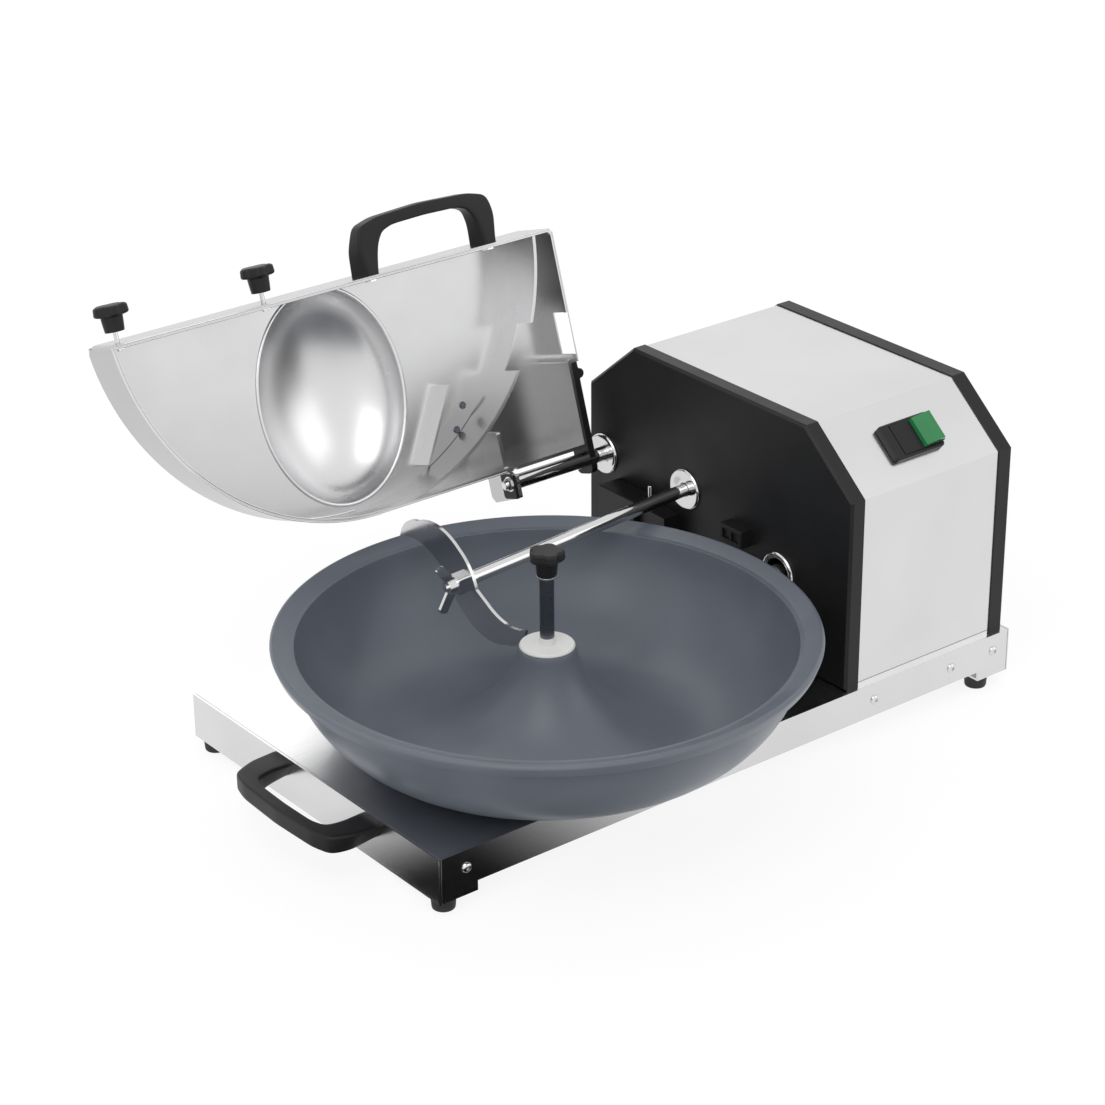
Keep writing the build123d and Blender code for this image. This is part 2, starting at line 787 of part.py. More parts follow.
with BuildPart() as knife_spacer:
    with BuildSketch(knife_plane.offset(half_knife)):
        Circle(spacer_radius)
        Circle(shaft_radius, mode=Mode.SUBTRACT)
    extrude(amount=spacer_length)
save(knife_spacer.part, "knife_spacer")

def blade_edge():
    """Half of the knife's outline, from the hub's far side round a hooked blade and back."""
    with BuildLine() as edge:
        ThreePointArc((-20, 0), (-14, 15), (2, 31))
        ThreePointArc((2, 31), (27, 42), (60, 37))
        ThreePointArc((60, 37), (79, 28), (knife_radius - 1, 12))
        ThreePointArc((knife_radius - 1, 12), (58, 17), (34, 8))
        Line((34, 8), (20, 0))
    return edge.line


with BuildPart() as knife:
    with BuildSketch(knife_plane.offset(-half_knife)):
        with BuildLine():
            add(blade_edge())
            add(blade_edge().rotate(Axis.Z, 180))
        make_face()
        Rectangle(square_end, square_end, mode=Mode.SUBTRACT)
    extrude(amount=knife_thick)
save(knife.part, "knife")

with BuildPart() as knife_collar:
    with BuildSketch(knife_plane.offset(-half_knife)):
        RectangleRounded(clamp_width, clamp_width, 1.5)
        Rectangle(square_end, square_end, mode=Mode.SUBTRACT)
    extrude(amount=-clamp_length)
save(knife_collar.part, "knife_collar")

with BuildPart() as wing_nut:
    with BuildSketch(knife_plane.offset(wing_seat)):
        Circle(wing_hub_radius)
    extrude(amount=-wing_hub_length, taper=6)
    wing_plane = Plane(knife_plane.origin, x_dir=shaft_direction, z_dir=(0, 1, 0))
    with BuildSketch(wing_plane.offset(-wing_thick / 2.0)):
        for side in (1, -1):
            with BuildLine():
                FilletPolyline(
                    (wing_seat, side * stud_radius),
                    (wing_seat, side * wing_hub_radius),
                    (wing_seat - 0.48 * wing_reach, side * wing_reach),
                    (wing_seat - 0.83 * wing_reach, side * wing_reach * 0.87),
                    (wing_seat - wing_hub_length, side * stud_radius),
                    radius=2.5,
                    close=True,
                )
            make_face()
    extrude(amount=wing_thick)
    with BuildSketch(knife_plane.offset(wing_seat)):
        Circle(stud_radius + fit)
    extrude(amount=-wing_reach, mode=Mode.SUBTRACT)
save(wing_nut.part, "wing_nut")

# ---- Cover, drawn open -----------------------------------------------------
def lid_point(x, s):
    """A point in the cover's own plane: along the machine, and out from the hinge."""
    return (front_x + x, -s)


def lid_share(u, v):
    """A point in the lid in shares of its radius: along the machine, and back towards the hinge."""
    return lid_point(cover_in_x + u * cover_radius, cover_s - v * cover_radius)


def side_plane(x):
    """An upright plane across the cover: local x runs out from the hinge, y out of the lid."""
    origin = cover_plane.from_local_coords((front_x + x, 0, 0))
    return Plane(origin, x_dir=-cover_plane.y_dir, z_dir=(-1, 0, 0))


def cover_outline(level, inset=0.0, band=0.0):
    """The lid's outline at a level, drawn in, or a band along it: a cut disc carried to the right."""
    with BuildSketch(cover_plane.offset(level)) as outline:
        with BuildLine():
            shoulder = cover_radius * sqrt(0.5)
            heel = cover_s - cover_radius
            arc = ThreePointArc(
                lid_point(cover_in_x - cover_half, cover_edge),
                lid_point(cover_in_x - shoulder, cover_s - shoulder),
                lid_point(cover_in_x, heel),
            )
            Polyline(
                arc @ 1,
                lid_point(cover_side_at - cover_step, heel),
                lid_point(cover_side_at - cover_step, cover_step_s),
                lid_point(cover_side_at, cover_step_s),
                lid_point(cover_side_at, cover_edge),
                arc @ 0,
            )
        make_face()
        corners = outline.vertices().sort_by(Axis.X)
        fillet(ShapeList([corners[0], corners[-1]]), cover_corner)
        if inset > 0:
            offset(amount=-inset, mode=Mode.REPLACE)
        if band > 0:
            offset(amount=-band, mode=Mode.SUBTRACT)
    return outline.sketch


def lid_height(face):
    """How far a face's middle stands out of the lid."""
    return cover_plane.to_local_coords(face.center()).Z


dome_plane = Plane(
    cover_plane.from_local_coords((*lid_point(dome_in_x, dome_s), lid_inside)),
    x_dir=(1, 0, 0),
    z_dir=cover_plane.z_dir,
)


def dome_ellipsoid(wall):
    """The dome's ellipsoid, carried out by a wall."""
    sizes = (dome_half_x + wall, dome_half_s + wall, dome_rise + wall)
    return dome_plane * scale(Sphere(1.0), by=sizes)


with BuildPart() as cover_shell:
    extrude(cover_outline(cover_rim), amount=cover_depth)
    fillet(cover_shell.faces().sort_by(lid_height)[-1].edges(), cover_crease)
    extrude(cover_outline(cover_rim, cover_sheet), amount=cover_depth - cover_sheet, mode=Mode.SUBTRACT)
    extrude(cover_outline(cover_rim, 0.0, hem), amount=hem)
    for width, height in ((cover_sheet, cover_depth - cover_sheet), (hem, hem)):
        with BuildSketch(cover_plane.offset(cover_rim)):
            with Locations(lid_point(cover_in_x, cover_s)):
                Circle(cover_radius)
                Circle(cover_radius - width, mode=Mode.SUBTRACT)
            with Locations(lid_point(cover_in_x, cover_edge)):
                Rectangle(
                    cover_radius,
                    cover_edge - cover_s + cover_radius,
                    align=(Align.MIN, Align.MIN),
                    mode=Mode.INTERSECT,
                )
        extrude(amount=height)
    with BuildSketch(side_plane(lug_at)):
        with Locations(((notch_low + notch_high) / 2.0, cover_rim + notch_deep / 2.0)):
            Rectangle(notch_high - notch_low, notch_deep)
    extrude(amount=lug_at - cover_side_at - hem, mode=Mode.SUBTRACT)
    with BuildSketch(side_plane(lug_at)):
        with Locations((cover_s - cover_radius, cover_rim)):
            Rectangle(3.0 * hem, cover_depth - cover_sheet, align=(Align.CENTER, Align.MIN))
    extrude(amount=-lug_thick, mode=Mode.SUBTRACT)
    with BuildSketch(dome_plane):
        Ellipse(dome_half_x + cover_sheet + fit, dome_half_s + cover_sheet + fit)
    extrude(amount=2.0 * cover_sheet, mode=Mode.SUBTRACT)
    with BuildSketch(edge_plane):
        for station in cover_knob_stations:
            with Locations((station, 0)):
                Circle(cover_stud_radius + gap)
    extrude(amount=-2.0 * cover_sheet, mode=Mode.SUBTRACT)
save(cover_shell.part, "cover_shell")

wall_inside = cover_edge - cover_sheet
dome_skin = dome_ellipsoid(cover_sheet) - dome_ellipsoid(0)
with BuildPart() as cover_dome:
    add(dome_skin)
    split(bisect_by=dome_plane, keep=Keep.TOP)
    with BuildSketch(dome_plane):
        Ellipse(dome_half_x + cover_sheet + bead_width, dome_half_s + cover_sheet + bead_width)
        Ellipse(dome_half_x, dome_half_s, mode=Mode.SUBTRACT)
        with Locations((0, dome_s - wall_inside + fit)):
            Rectangle(3.0 * dome_half_x, 3.0 * dome_half_s, align=(Align.CENTER, Align.MIN), mode=Mode.INTERSECT)
    extrude(amount=-bead)
save(cover_dome.part, "cover_dome")

lug_back = lug_tail + 5.0
with BuildPart() as cover_lug:
    with BuildSketch(side_plane(lug_at)):
        with BuildLine():
            FilletPolyline(
                (lug_top, 9.0),
                (lug_tail, 7.6),
                (lug_pad_s, -1.0),
                (lug_pad_s, cover_rim),
                (-lug_tail, cover_rim),
                (-lug_back, lid_inside - 5.0),
                (-lug_tail, lid_inside),
                (lug_top, lid_inside),
                radius=2.0,
                close=True,
            )
        make_face()
        Circle(hinge_rod_radius + fit, mode=Mode.SUBTRACT)
    extrude(amount=-lug_thick)
save(cover_lug.part, "cover_lug")

with BuildPart() as cover_lug_pad:
    with BuildSketch(side_plane(lug_at)):
        with Locations((-lug_tail, cover_rim)):
            Rectangle(lug_tail + lug_pad_s, lug_pad_h - cover_rim, align=(Align.MIN, Align.MIN))
        Circle(hinge_rod_radius + fit, mode=Mode.SUBTRACT)
    extrude(amount=lug_pad_thick)
    fillet(cover_lug_pad.edges().filter_by(Axis.X).group_by(Axis.Z)[0], 3.0)
save(cover_lug_pad.part, "cover_lug_pad")

plate_face = cover_side_at - cover_step + side_plate_thick
with BuildPart() as cover_side_plate:
    with BuildSketch(side_plane(cover_side_at - cover_step)):
        with Locations((-lug_tail, cover_rim)):
            Rectangle(cover_step_s + lug_tail, side_plate_deep, align=(Align.MIN, Align.MIN))
        Circle(hinge_rod_radius + fit, mode=Mode.SUBTRACT)
    extrude(amount=-side_plate_thick)
    toe = cover_side_plate.edges().filter_by(Axis.X).sort_by(
        lambda e: -side_plane(0).to_local_coords(e.center()).X
    )
    fillet(toe[-2:], 7.0)
    with BuildSketch(cover_plane.offset(presser_h)):
        with Locations(lid_point(presser_in_x, presser_s)):
            Circle(presser_radius)
        Polygon(
            lid_point(plate_face, cover_step_s),
            lid_point(plate_face, presser_s - presser_radius - presser_radius),
            lid_point(presser_in_x, presser_s - presser_radius),
            lid_point(presser_in_x, presser_s + presser_radius),
            align=None,
        )
    extrude(amount=presser_length)
save(cover_side_plate.part, "cover_side_plate")

bracket_corners = ((0.525, 0.61), (0.35, 0.901), (0.502, 0.942), (0.695, 0.677))
rivet_places = ((0.605, 0.713), (0.552, 0.803))
with BuildPart() as cover_bracket:
    with BuildSketch(cover_plane.offset(lid_inside)):
        Polygon(*[lid_share(u, v) for u, v in bracket_corners], align=None)
        with Locations(lid_point(cover_in_x, cover_s)):
            Circle(cover_radius - cover_sheet - gap, mode=Mode.INTERSECT)
    extrude(amount=-bracket_thick)
    with BuildSketch(cover_plane.offset(lid_inside)):
        with BuildLine():
            fold = Line(lid_share(*bracket_corners[0]), lid_share(*bracket_corners[1]))
            offset(fold, amount=bracket_thick * 1.5, side=Side.LEFT)
        make_face()
    extrude(amount=-bracket_rise)
save(cover_bracket.part, "cover_bracket")

with BuildPart() as cover_rivets:
    with BuildSketch(cover_plane.offset(lid_inside - bracket_thick)):
        with Locations(*[lid_share(u, v) for u, v in rivet_places]):
            Circle(rivet_radius)
    extrude(amount=-rivet_rise, taper=20)
save(cover_rivets.part, "cover_rivets")

for knob_name, station in zip(("left", "right"), cover_knob_stations):
    seat = edge_plane.shift_origin(edge_plane.from_local_coords((station, 0, 0)))
    save(star_knob(seat.offset(cover_stud_rise), cover_stud_radius), f"cover_knob_{knob_name}")
    with BuildPart() as cover_stud:
        with BuildSketch(seat.offset(-cover_sheet - nut_plate_thick - 1.5)):
            Circle(cover_stud_radius)
        extrude(amount=cover_stud_rise + cover_sheet + nut_plate_thick + 1.5 + knob_neck_height)
    save(cover_stud.part, f"cover_stud_{knob_name}")
    with BuildPart() as plate:
        with BuildSketch(seat.offset(-cover_sheet)):
            RectangleRounded(nut_plate, nut_plate_deep, 1.0)
            Circle(cover_stud_radius + fit, mode=Mode.SUBTRACT)
        extrude(amount=-nut_plate_thick)
    save(plate.part, f"cover_nut_{knob_name}")

# ---- Rocker switch on the bevel --------------------------------------------
switch_plane = Plane(
    (
        front_x + switch_at,
        right_y + housing_inset + corner_across - wrap_inset * 0.42,
        housing_top - wrap_inset,
    ),
    x_dir=(1, 0, 0),
    z_dir=(0, -corner_down, corner_across),
)
switch_middle = Plane(
    switch_plane.from_local_coords((0, -switch_down, 0)),
    x_dir=(1, 0, 0),
    z_dir=switch_plane.z_dir,
)
pivot_height = rocker_low + rocker_thick / 2.0
pivot_plane = Plane(
    switch_middle.from_local_coords((rocker_offset, 0, pivot_height)),
    x_dir=(1, 0, 0),
    z_dir=switch_middle.z_dir,
)
with BuildPart() as switch_frame:
    with BuildSketch(switch_middle):
        RectangleRounded(switch_length, switch_width, switch_corner)
    extrude(amount=switch_rise)
    rim = switch_frame.faces().sort_by(lambda f: switch_middle.to_local_coords(f.center()).Z)[-1]
    chamfer(rim.edges(), 1.2)
    with BuildSketch(switch_middle):
        with Locations((rocker_offset, 0)):
            Rectangle(rocker_length + 4.0 * gap, rocker_width + 2.0 * gap)
    extrude(amount=switch_rise, mode=Mode.SUBTRACT)
    with BuildSketch(Plane(pivot_plane.origin, x_dir=(1, 0, 0), z_dir=pivot_plane.y_dir)):
        Circle(rocker_pivot + fit)
    extrude(amount=rocker_width / 2.0 + 2.0, both=True, mode=Mode.SUBTRACT)
save(switch_frame.part, "switch_frame")

tilt = radians(rocker_tilt)
rocker_side = Plane(
    pivot_plane.origin,
    x_dir=pivot_plane.x_dir * cos(tilt) + pivot_plane.z_dir * sin(tilt),
    z_dir=-pivot_plane.y_dir,
)
half_rocker = rocker_length / 2.0
with BuildPart() as switch_rocker:
    with BuildSketch(rocker_side):
        Polygon(
            (-half_rocker, -rocker_thick / 2.0),
            (half_rocker, -rocker_thick / 2.0),
            (half_rocker, rocker_thick / 2.0 + rocker_lip),
            (0, rocker_thick / 2.0),
            (-half_rocker, rocker_thick / 2.0 + rocker_lip),
            align=None,
        )
    extrude(amount=rocker_width / 2.0, both=True)
    with BuildSketch(rocker_side):
        Circle(rocker_pivot)
    extrude(amount=rocker_width / 2.0 + 1.6, both=True)
save(switch_rocker.part, "switch_rocker")

with BuildPart() as switch_lens:
    with BuildSketch(rocker_side):
        Polygon(
            (0.5, rocker_thick / 2.0 + 0.04),
            (half_rocker, rocker_thick / 2.0 + rocker_lip),
            (half_rocker - 1.0, rocker_thick / 2.0 + lens_rise + rocker_lip),
            (1.5, rocker_thick / 2.0 + lens_rise),
            align=None,
        )
    extrude(amount=rocker_width / 2.0 - 0.5, both=True)
save(switch_lens.part, "switch_lens")

# ---- Cover interlock and bowl sensor ---------------------------------------
interlock_y = right_y + interlock_from
pin_place = (front_x + presser_in_x, hinge_y - presser_s)
pin_top = hinge_level + presser_h - gap
side_top = interlock_top - interlock_side_drop
pin_bore = side_top - interlock_top + interlock_height - sheet
with BuildPart() as interlock_housing:
    with BuildSketch(Plane.XY.offset(interlock_top)):
        with Locations((panel_x, interlock_y)):
            Rectangle(interlock_depth, interlock_length, align=(Align.MAX, Align.MIN))
    extrude(amount=-interlock_height)
    with BuildSketch(Plane.XY.offset(side_top)):
        with Locations((panel_x, interlock_y)):
            Rectangle(interlock_side_depth, interlock_side, align=(Align.MAX, Align.MAX))
    extrude(amount=interlock_side_drop - interlock_height)
    chamfer(interlock_housing.faces().sort_by(Axis.Z)[-1].edges(), 1.0)
    with BuildSketch(Plane.XY.offset(side_top)):
        with Locations(pin_place):
            Circle(interlock_pin_radius + fit)
    extrude(amount=-pin_bore, mode=Mode.SUBTRACT)
save(interlock_housing.part, "interlock_housing")

with BuildPart() as interlock_pin:
    with BuildSketch(Plane.XY.offset(pin_top)):
        with Locations(pin_place):
            Circle(interlock_pin_radius)
    extrude(amount=side_top - pin_bore + interlock_travel + gap - pin_top)
    chamfer(interlock_pin.edges().sort_by(Axis.Z)[-1], interlock_pin_radius * 0.3)
save(interlock_pin.part, "interlock_pin")

with BuildPart() as bowl_sensor:
    sensor_middle = (right_y + sensor_from + sensor_width / 2.0, sensor_low + sensor_height / 2.0)
    with BuildSketch(Plane.YZ.offset(panel_x)):
        with Locations(sensor_middle):
            Rectangle(sensor_width, sensor_height)
    extrude(amount=-sensor_depth)
    chamfer(bowl_sensor.faces().sort_by(Axis.X)[0].edges(), 1.2)
    with BuildSketch(Plane.YZ.offset(panel_x - sensor_depth)):
        with Locations(sensor_middle):
            with GridLocations(sensor_window + sheet, 0, 2, 1):
                Rectangle(sensor_window, sensor_window_height)
    extrude(amount=sheet, mode=Mode.SUBTRACT)
save(bowl_sensor.part, "bowl_sensor")
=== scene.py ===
import json
import math

import bmesh
import bpy
import numpy as np
from bpy.props import FloatProperty, FloatVectorProperty, IntProperty, PointerProperty
from bpy.types import Operator, Panel, PropertyGroup
from mathutils import Matrix, Vector


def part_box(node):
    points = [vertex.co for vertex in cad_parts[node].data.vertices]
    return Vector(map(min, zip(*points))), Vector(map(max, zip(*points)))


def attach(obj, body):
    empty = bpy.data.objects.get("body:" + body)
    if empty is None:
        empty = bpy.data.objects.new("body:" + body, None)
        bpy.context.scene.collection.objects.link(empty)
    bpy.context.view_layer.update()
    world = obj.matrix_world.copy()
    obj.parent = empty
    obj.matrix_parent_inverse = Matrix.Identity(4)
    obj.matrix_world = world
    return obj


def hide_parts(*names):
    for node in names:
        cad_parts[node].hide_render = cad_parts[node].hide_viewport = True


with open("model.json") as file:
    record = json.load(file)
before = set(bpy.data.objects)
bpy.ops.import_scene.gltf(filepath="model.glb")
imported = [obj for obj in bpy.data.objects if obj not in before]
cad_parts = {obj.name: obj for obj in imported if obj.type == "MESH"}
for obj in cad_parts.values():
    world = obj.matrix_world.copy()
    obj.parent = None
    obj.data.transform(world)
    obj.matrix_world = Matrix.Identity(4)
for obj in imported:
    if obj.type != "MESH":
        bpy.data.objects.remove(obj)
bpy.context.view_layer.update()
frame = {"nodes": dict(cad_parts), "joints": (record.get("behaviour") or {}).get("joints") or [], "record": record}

bl_info = {
    "name": "Bowl Cutter Finish",
    "version": (1, 0, 0),
    "blender": (4, 5, 0),
    "location": "3D View > Sidebar > Bowl Cutter",
    "description": "Finishes a table-top bowl cutter: bowl, knobs, handles, cover, fittings and materials",
    "category": "Object",
}

FINE_STEPS = 4000            # points along a line before it is sampled again
BEND_SHARE = 2.5             # how much more densely a bend is sampled than a straight
WIRE_SIDES = 14
WELD = 2e-6                  # metres between points that become one
SLIVER = 1e-6                # shorter edges are dissolved

DISC_ALONG, DISC_OUT = 0.186, 0.235      # middle of the disc that the cover is cut from
COVER_EDGE = 0.2145                      # the cover's straight edge, out from the hinge
COVER_REACH = 0.216                      # outer face of that edge
HEM_LEVEL, CREASE_LEVEL = -0.0070, 0.0364
HEM_WIRE, CREASE_WIRE = 0.0006, 0.0009


# ---- Reading places from the frame -------------------------------------------
def ends(node):
    """Lowest and highest corner of a CAD node, as numpy arrays."""
    low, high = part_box(node)
    return np.array(low), np.array(high)


def middle(node):
    """Centre of a CAD node's box."""
    low, high = ends(node)
    return (low + high) / 2


def joint(name):
    """A joint's place and the unit vector along its axis."""
    found = next(entry for entry in frame["joints"] if entry["name"] == name)
    axis = np.array(found["axis"], float)
    return np.array(found["pos_m"], float), axis / np.linalg.norm(axis)


def basis(up, ahead=(1.0, 0.0, 0.0)):
    """Three unit columns: ahead made square to up, their cross product, and up."""
    z = np.array(up, float) / np.linalg.norm(up)
    x = np.array(ahead, float) - z * np.dot(ahead, z)
    x = x / np.linalg.norm(x)
    return np.stack([x, np.cross(z, x), z], axis=1)


def place(points, origin, axes):
    """Local points turned into the frame's directions and moved to an origin."""
    return points @ axes.T + np.asarray(origin)


def cover_frame():
    """Origin and axes of the open cover: along the machine from its front, out from the hinge, and lift."""
    along, out = np.array([1.0, 0.0, 0.0]), joint("cover_clamp_left_turn")[1]
    origin = joint("cover_hinge")[0] * (0.0, 1.0, 1.0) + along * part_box("front_apron")[0][0]
    return origin, np.stack([along, out, np.cross(out, along)], axis=1)


# ---- Surfaces from arrays ------------------------------------------------------
def softened(corners, radius, count, closed=True):
    """A line through the corners with each corner rounded.

    The line is walked in even steps and every point is averaged with its neighbours by a
    bell curve as wide as the radius. The result is sampled again, closer where it bends."""
    points = np.asarray(corners, float)
    if closed:
        points = np.concatenate([points, points[:1]])
    reach = np.concatenate([[0.0], np.cumsum(np.linalg.norm(np.diff(points, axis=0), axis=1))])
    walk = np.linspace(0.0, reach[-1], FINE_STEPS, endpoint=not closed)
    line = np.stack([np.interp(walk, reach, points[:, k]) for k in range(points.shape[1])], axis=1)
    step = reach[-1] / FINE_STEPS
    half = max(1, int(3.0 * radius / step))
    bell = np.exp(-0.5 * (np.arange(-half, half + 1) * step / radius) ** 2)
    bell = bell / bell.sum()
    if closed:
        padded = np.pad(line, ((half, half), (0, 0)), mode="wrap")
    else:
        padded = np.pad(line, ((half, half), (0, 0)), mode="reflect", reflect_type="odd")
    line = np.stack([np.convolve(padded[:, k], bell, "valid") for k in range(line.shape[1])], axis=1)
    if closed:
        line = np.concatenate([line, line[:1]])
    span = np.diff(line, axis=0)
    length = np.linalg.norm(span, axis=1)
    heading = span / np.maximum(length, 1e-12)[:, None]
    turn = np.linalg.norm(np.diff(heading, axis=0), axis=1)
    turn = np.concatenate([turn, turn[-1:]])
    weight = length / length.sum() + BEND_SHARE * turn / max(turn.sum(), 1e-9)
    total = np.concatenate([[0.0], np.cumsum(weight)])
    wanted = np.linspace(0.0, total[-1], count, endpoint=not closed)
    return np.stack([np.interp(wanted, total, line[:, k]) for k in range(line.shape[1])], axis=1)


def turned(profile, segments, lobes=None):
    """A profile of radius and height carried round the local z axis.

    Radius times the cosine and sine of the turn gives x and y, and lobes, a function of
    the turn, the radius and the height, scales the radius."""
    turn = np.linspace(0.0, 2.0 * np.pi, segments, endpoint=False)
    radius = profile[:, 0][:, None] * np.ones(segments)
    height = profile[:, 1][:, None] * np.ones(segments)
    if lobes is not None:
        radius = radius * lobes(turn[None, :], radius, height)
    return np.stack([radius * np.cos(turn), radius * np.sin(turn), height], axis=2)


def wire(points, radius, softness, count=160):
    """A round wire through points: a circle carried along the softened line, square to its heading."""
    path = softened(points, softness, count, closed=False)
    heading = np.gradient(path, axis=0)
    heading = heading / np.linalg.norm(heading, axis=1)[:, None]
    side = np.cross(heading, np.array([0.0, 0.0, 1.0]))
    side = side / np.linalg.norm(side, axis=1)[:, None]
    rise = np.cross(side, heading)
    turn = np.linspace(0.0, 2.0 * np.pi, WIRE_SIDES, endpoint=False)[None, :, None]
    return capped(path[:, None] + radius * (side[:, None] * np.cos(turn) + rise[:, None] * np.sin(turn)))


def upright(profile, segments, axis):
    """A profile turned round a vertical axis."""
    return turned(profile, segments) + np.asarray(axis)


def capped(grid):
    """The grid with each end drawn together to the middle of its last row."""
    start = np.repeat(grid[:1].mean(axis=1, keepdims=True), grid.shape[1], axis=1)
    finish = np.repeat(grid[-1:].mean(axis=1, keepdims=True), grid.shape[1], axis=1)
    return np.concatenate([start, grid, finish])


def piece(name, grids, body, slot, *nodes, sharp=40.0, finish=None):
    """One object from one or more closed grids; a grid comes with whether its rows close too."""
    vertices, faces, start = [], [], 0
    for grid, ring in grids:
        rows, columns = grid.shape[:2]
        index = start + np.arange(rows * columns).reshape(rows, columns)
        index = np.concatenate([index, index[:, :1]], axis=1)
        if ring:
            index = np.concatenate([index, index[:1]], axis=0)
        quads = np.stack([index[:-1, :-1], index[:-1, 1:], index[1:, 1:], index[1:, :-1]], axis=2)
        vertices.append(grid.reshape(-1, 3))
        faces.append(quads.reshape(-1, 4))
        start += rows * columns
    mesh = bpy.data.meshes.new(name)
    mesh.from_pydata(np.concatenate(vertices).tolist(), [], np.concatenate(faces).tolist())
    shape = bmesh.new()
    shape.from_mesh(mesh)
    bmesh.ops.remove_doubles(shape, verts=shape.verts, dist=WELD)
    bmesh.ops.dissolve_degenerate(shape, edges=shape.edges, dist=SLIVER)
    bmesh.ops.recalc_face_normals(shape, faces=shape.faces)
    shape.to_mesh(mesh)
    shape.free()
    mesh.shade_smooth()
    mesh.set_sharp_from_angle(angle=math.radians(sharp))
    mesh.materials.append(FINISH[finish or slot])
    made = bpy.data.objects.new(name, mesh)
    bpy.context.scene.collection.objects.link(made)
    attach(made, body)
    if nodes:
        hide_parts(*nodes)
    return made


# ---- Shader node groups ----------------------------------------------------------
def group(name, inputs, outputs):
    """An empty shader node group with named sockets; returns it with its two end nodes."""
    tree = bpy.data.node_groups.new(name, "ShaderNodeTree")
    for label, kind, value in inputs:
        socket = tree.interface.new_socket(label, in_out="INPUT", socket_type=kind)
        if value is not None:
            socket.default_value = value
    for label, kind in outputs:
        tree.interface.new_socket(label, in_out="OUTPUT", socket_type=kind)
    return tree, tree.nodes.new("NodeGroupInput"), tree.nodes.new("NodeGroupOutput")


def brushed_group():
    """Fine parallel scratches: noise stretched along one direction by scaling the others up."""
    tree, given, result = group(
        "Brushed Lines",
        [("Vector", "NodeSocketVector", None), ("Stretch", "NodeSocketVector", (20.0, 900.0, 900.0))],
        [("Lines", "NodeSocketFloat"), ("Blotch", "NodeSocketFloat")],
    )
    nodes, links = tree.nodes, tree.links
    scaled = nodes.new("ShaderNodeVectorMath")
    scaled.operation = "MULTIPLY"
    links.new(given.outputs["Vector"], scaled.inputs[0])
    links.new(given.outputs["Stretch"], scaled.inputs[1])
    lines = nodes.new("ShaderNodeTexNoise")
    lines.inputs["Scale"].default_value = 1.0
    lines.inputs["Detail"].default_value = 4.0
    lines.inputs["Roughness"].default_value = 0.65
    links.new(scaled.outputs[0], lines.inputs["Vector"])
    blotch = nodes.new("ShaderNodeTexNoise")
    blotch.inputs["Scale"].default_value = 9.0
    blotch.inputs["Detail"].default_value = 2.0
    links.new(given.outputs["Vector"], blotch.inputs["Vector"])
    links.new(lines.outputs["Fac"], result.inputs["Lines"])
    links.new(blotch.outputs["Fac"], result.inputs["Blotch"])
    return tree


def grain_group():
    """Moulded or cast grain: small cells over a finer noise."""
    tree, given, result = group(
        "Fine Grain",
        [("Vector", "NodeSocketVector", None), ("Scale", "NodeSocketFloat", 900.0)],
        [("Grain", "NodeSocketFloat"), ("Smudge", "NodeSocketFloat")],
    )
    nodes, links = tree.nodes, tree.links
    cells = nodes.new("ShaderNodeTexVoronoi")
    links.new(given.outputs["Vector"], cells.inputs["Vector"])
    links.new(given.outputs["Scale"], cells.inputs["Scale"])
    fine = nodes.new("ShaderNodeTexNoise")
    fine.inputs["Detail"].default_value = 3.0
    links.new(given.outputs["Vector"], fine.inputs["Vector"])
    links.new(given.outputs["Scale"], fine.inputs["Scale"])
    both = nodes.new("ShaderNodeMath")
    both.operation = "MULTIPLY"
    links.new(cells.outputs["Distance"], both.inputs[0])
    links.new(fine.outputs["Fac"], both.inputs[1])
    smudge = nodes.new("ShaderNodeTexNoise")
    smudge.inputs["Scale"].default_value = 14.0
    smudge.inputs["Detail"].default_value = 4.0
    smudge.inputs["Distortion"].default_value = 0.6
    links.new(given.outputs["Vector"], smudge.inputs["Vector"])
    links.new(both.outputs[0], result.inputs["Grain"])
    links.new(smudge.outputs["Fac"], result.inputs["Smudge"])
    return tree


def material(name, metallic=0.0, **sockets):
    """An empty material with a Principled shader, its constants set on the shader's sockets."""
    made = bpy.data.materials.new(name)
    made.use_nodes = True
    tree = made.node_tree
    shader = tree.nodes["Principled BSDF"]
    shader.inputs["Metallic"].default_value = metallic
    for label, value in sockets.items():
        shader.inputs[label.replace("_", " ")].default_value = value
    return made, tree, shader


def spread(tree, source, low, high, floor=0.3, ceiling=0.7):
    """A noise value from floor to ceiling read as low to high."""
    node = tree.nodes.new("ShaderNodeMapRange")
    node.inputs["From Min"].default_value = floor
    node.inputs["From Max"].default_value = ceiling
    node.inputs["To Min"].default_value = low
    node.inputs["To Max"].default_value = high
    tree.links.new(source, node.inputs["Value"])
    return node.outputs["Result"]


def shades(tree, source, dark, light):
    """A mask from 0 to 1 read as a colour between two shades."""
    node = tree.nodes.new("ShaderNodeMix")
    node.data_type = "RGBA"
    node.inputs["A"].default_value = (*dark, 1.0)
    node.inputs["B"].default_value = (*light, 1.0)
    tree.links.new(source, node.inputs["Factor"])
    return node.outputs["Result"]


def bump(tree, shader, source, strength, distance):
    """A height fed to the shader's normal."""
    node = tree.nodes.new("ShaderNodeBump")
    node.inputs["Strength"].default_value = strength
    node.inputs["Distance"].default_value = distance
    tree.links.new(source, node.inputs["Height"])
    tree.links.new(node.outputs["Normal"], shader.inputs["Normal"])


def own_coordinates(tree):
    """The piece's own coordinates, in metres."""
    return tree.nodes.new("ShaderNodeTexCoord").outputs["Object"]


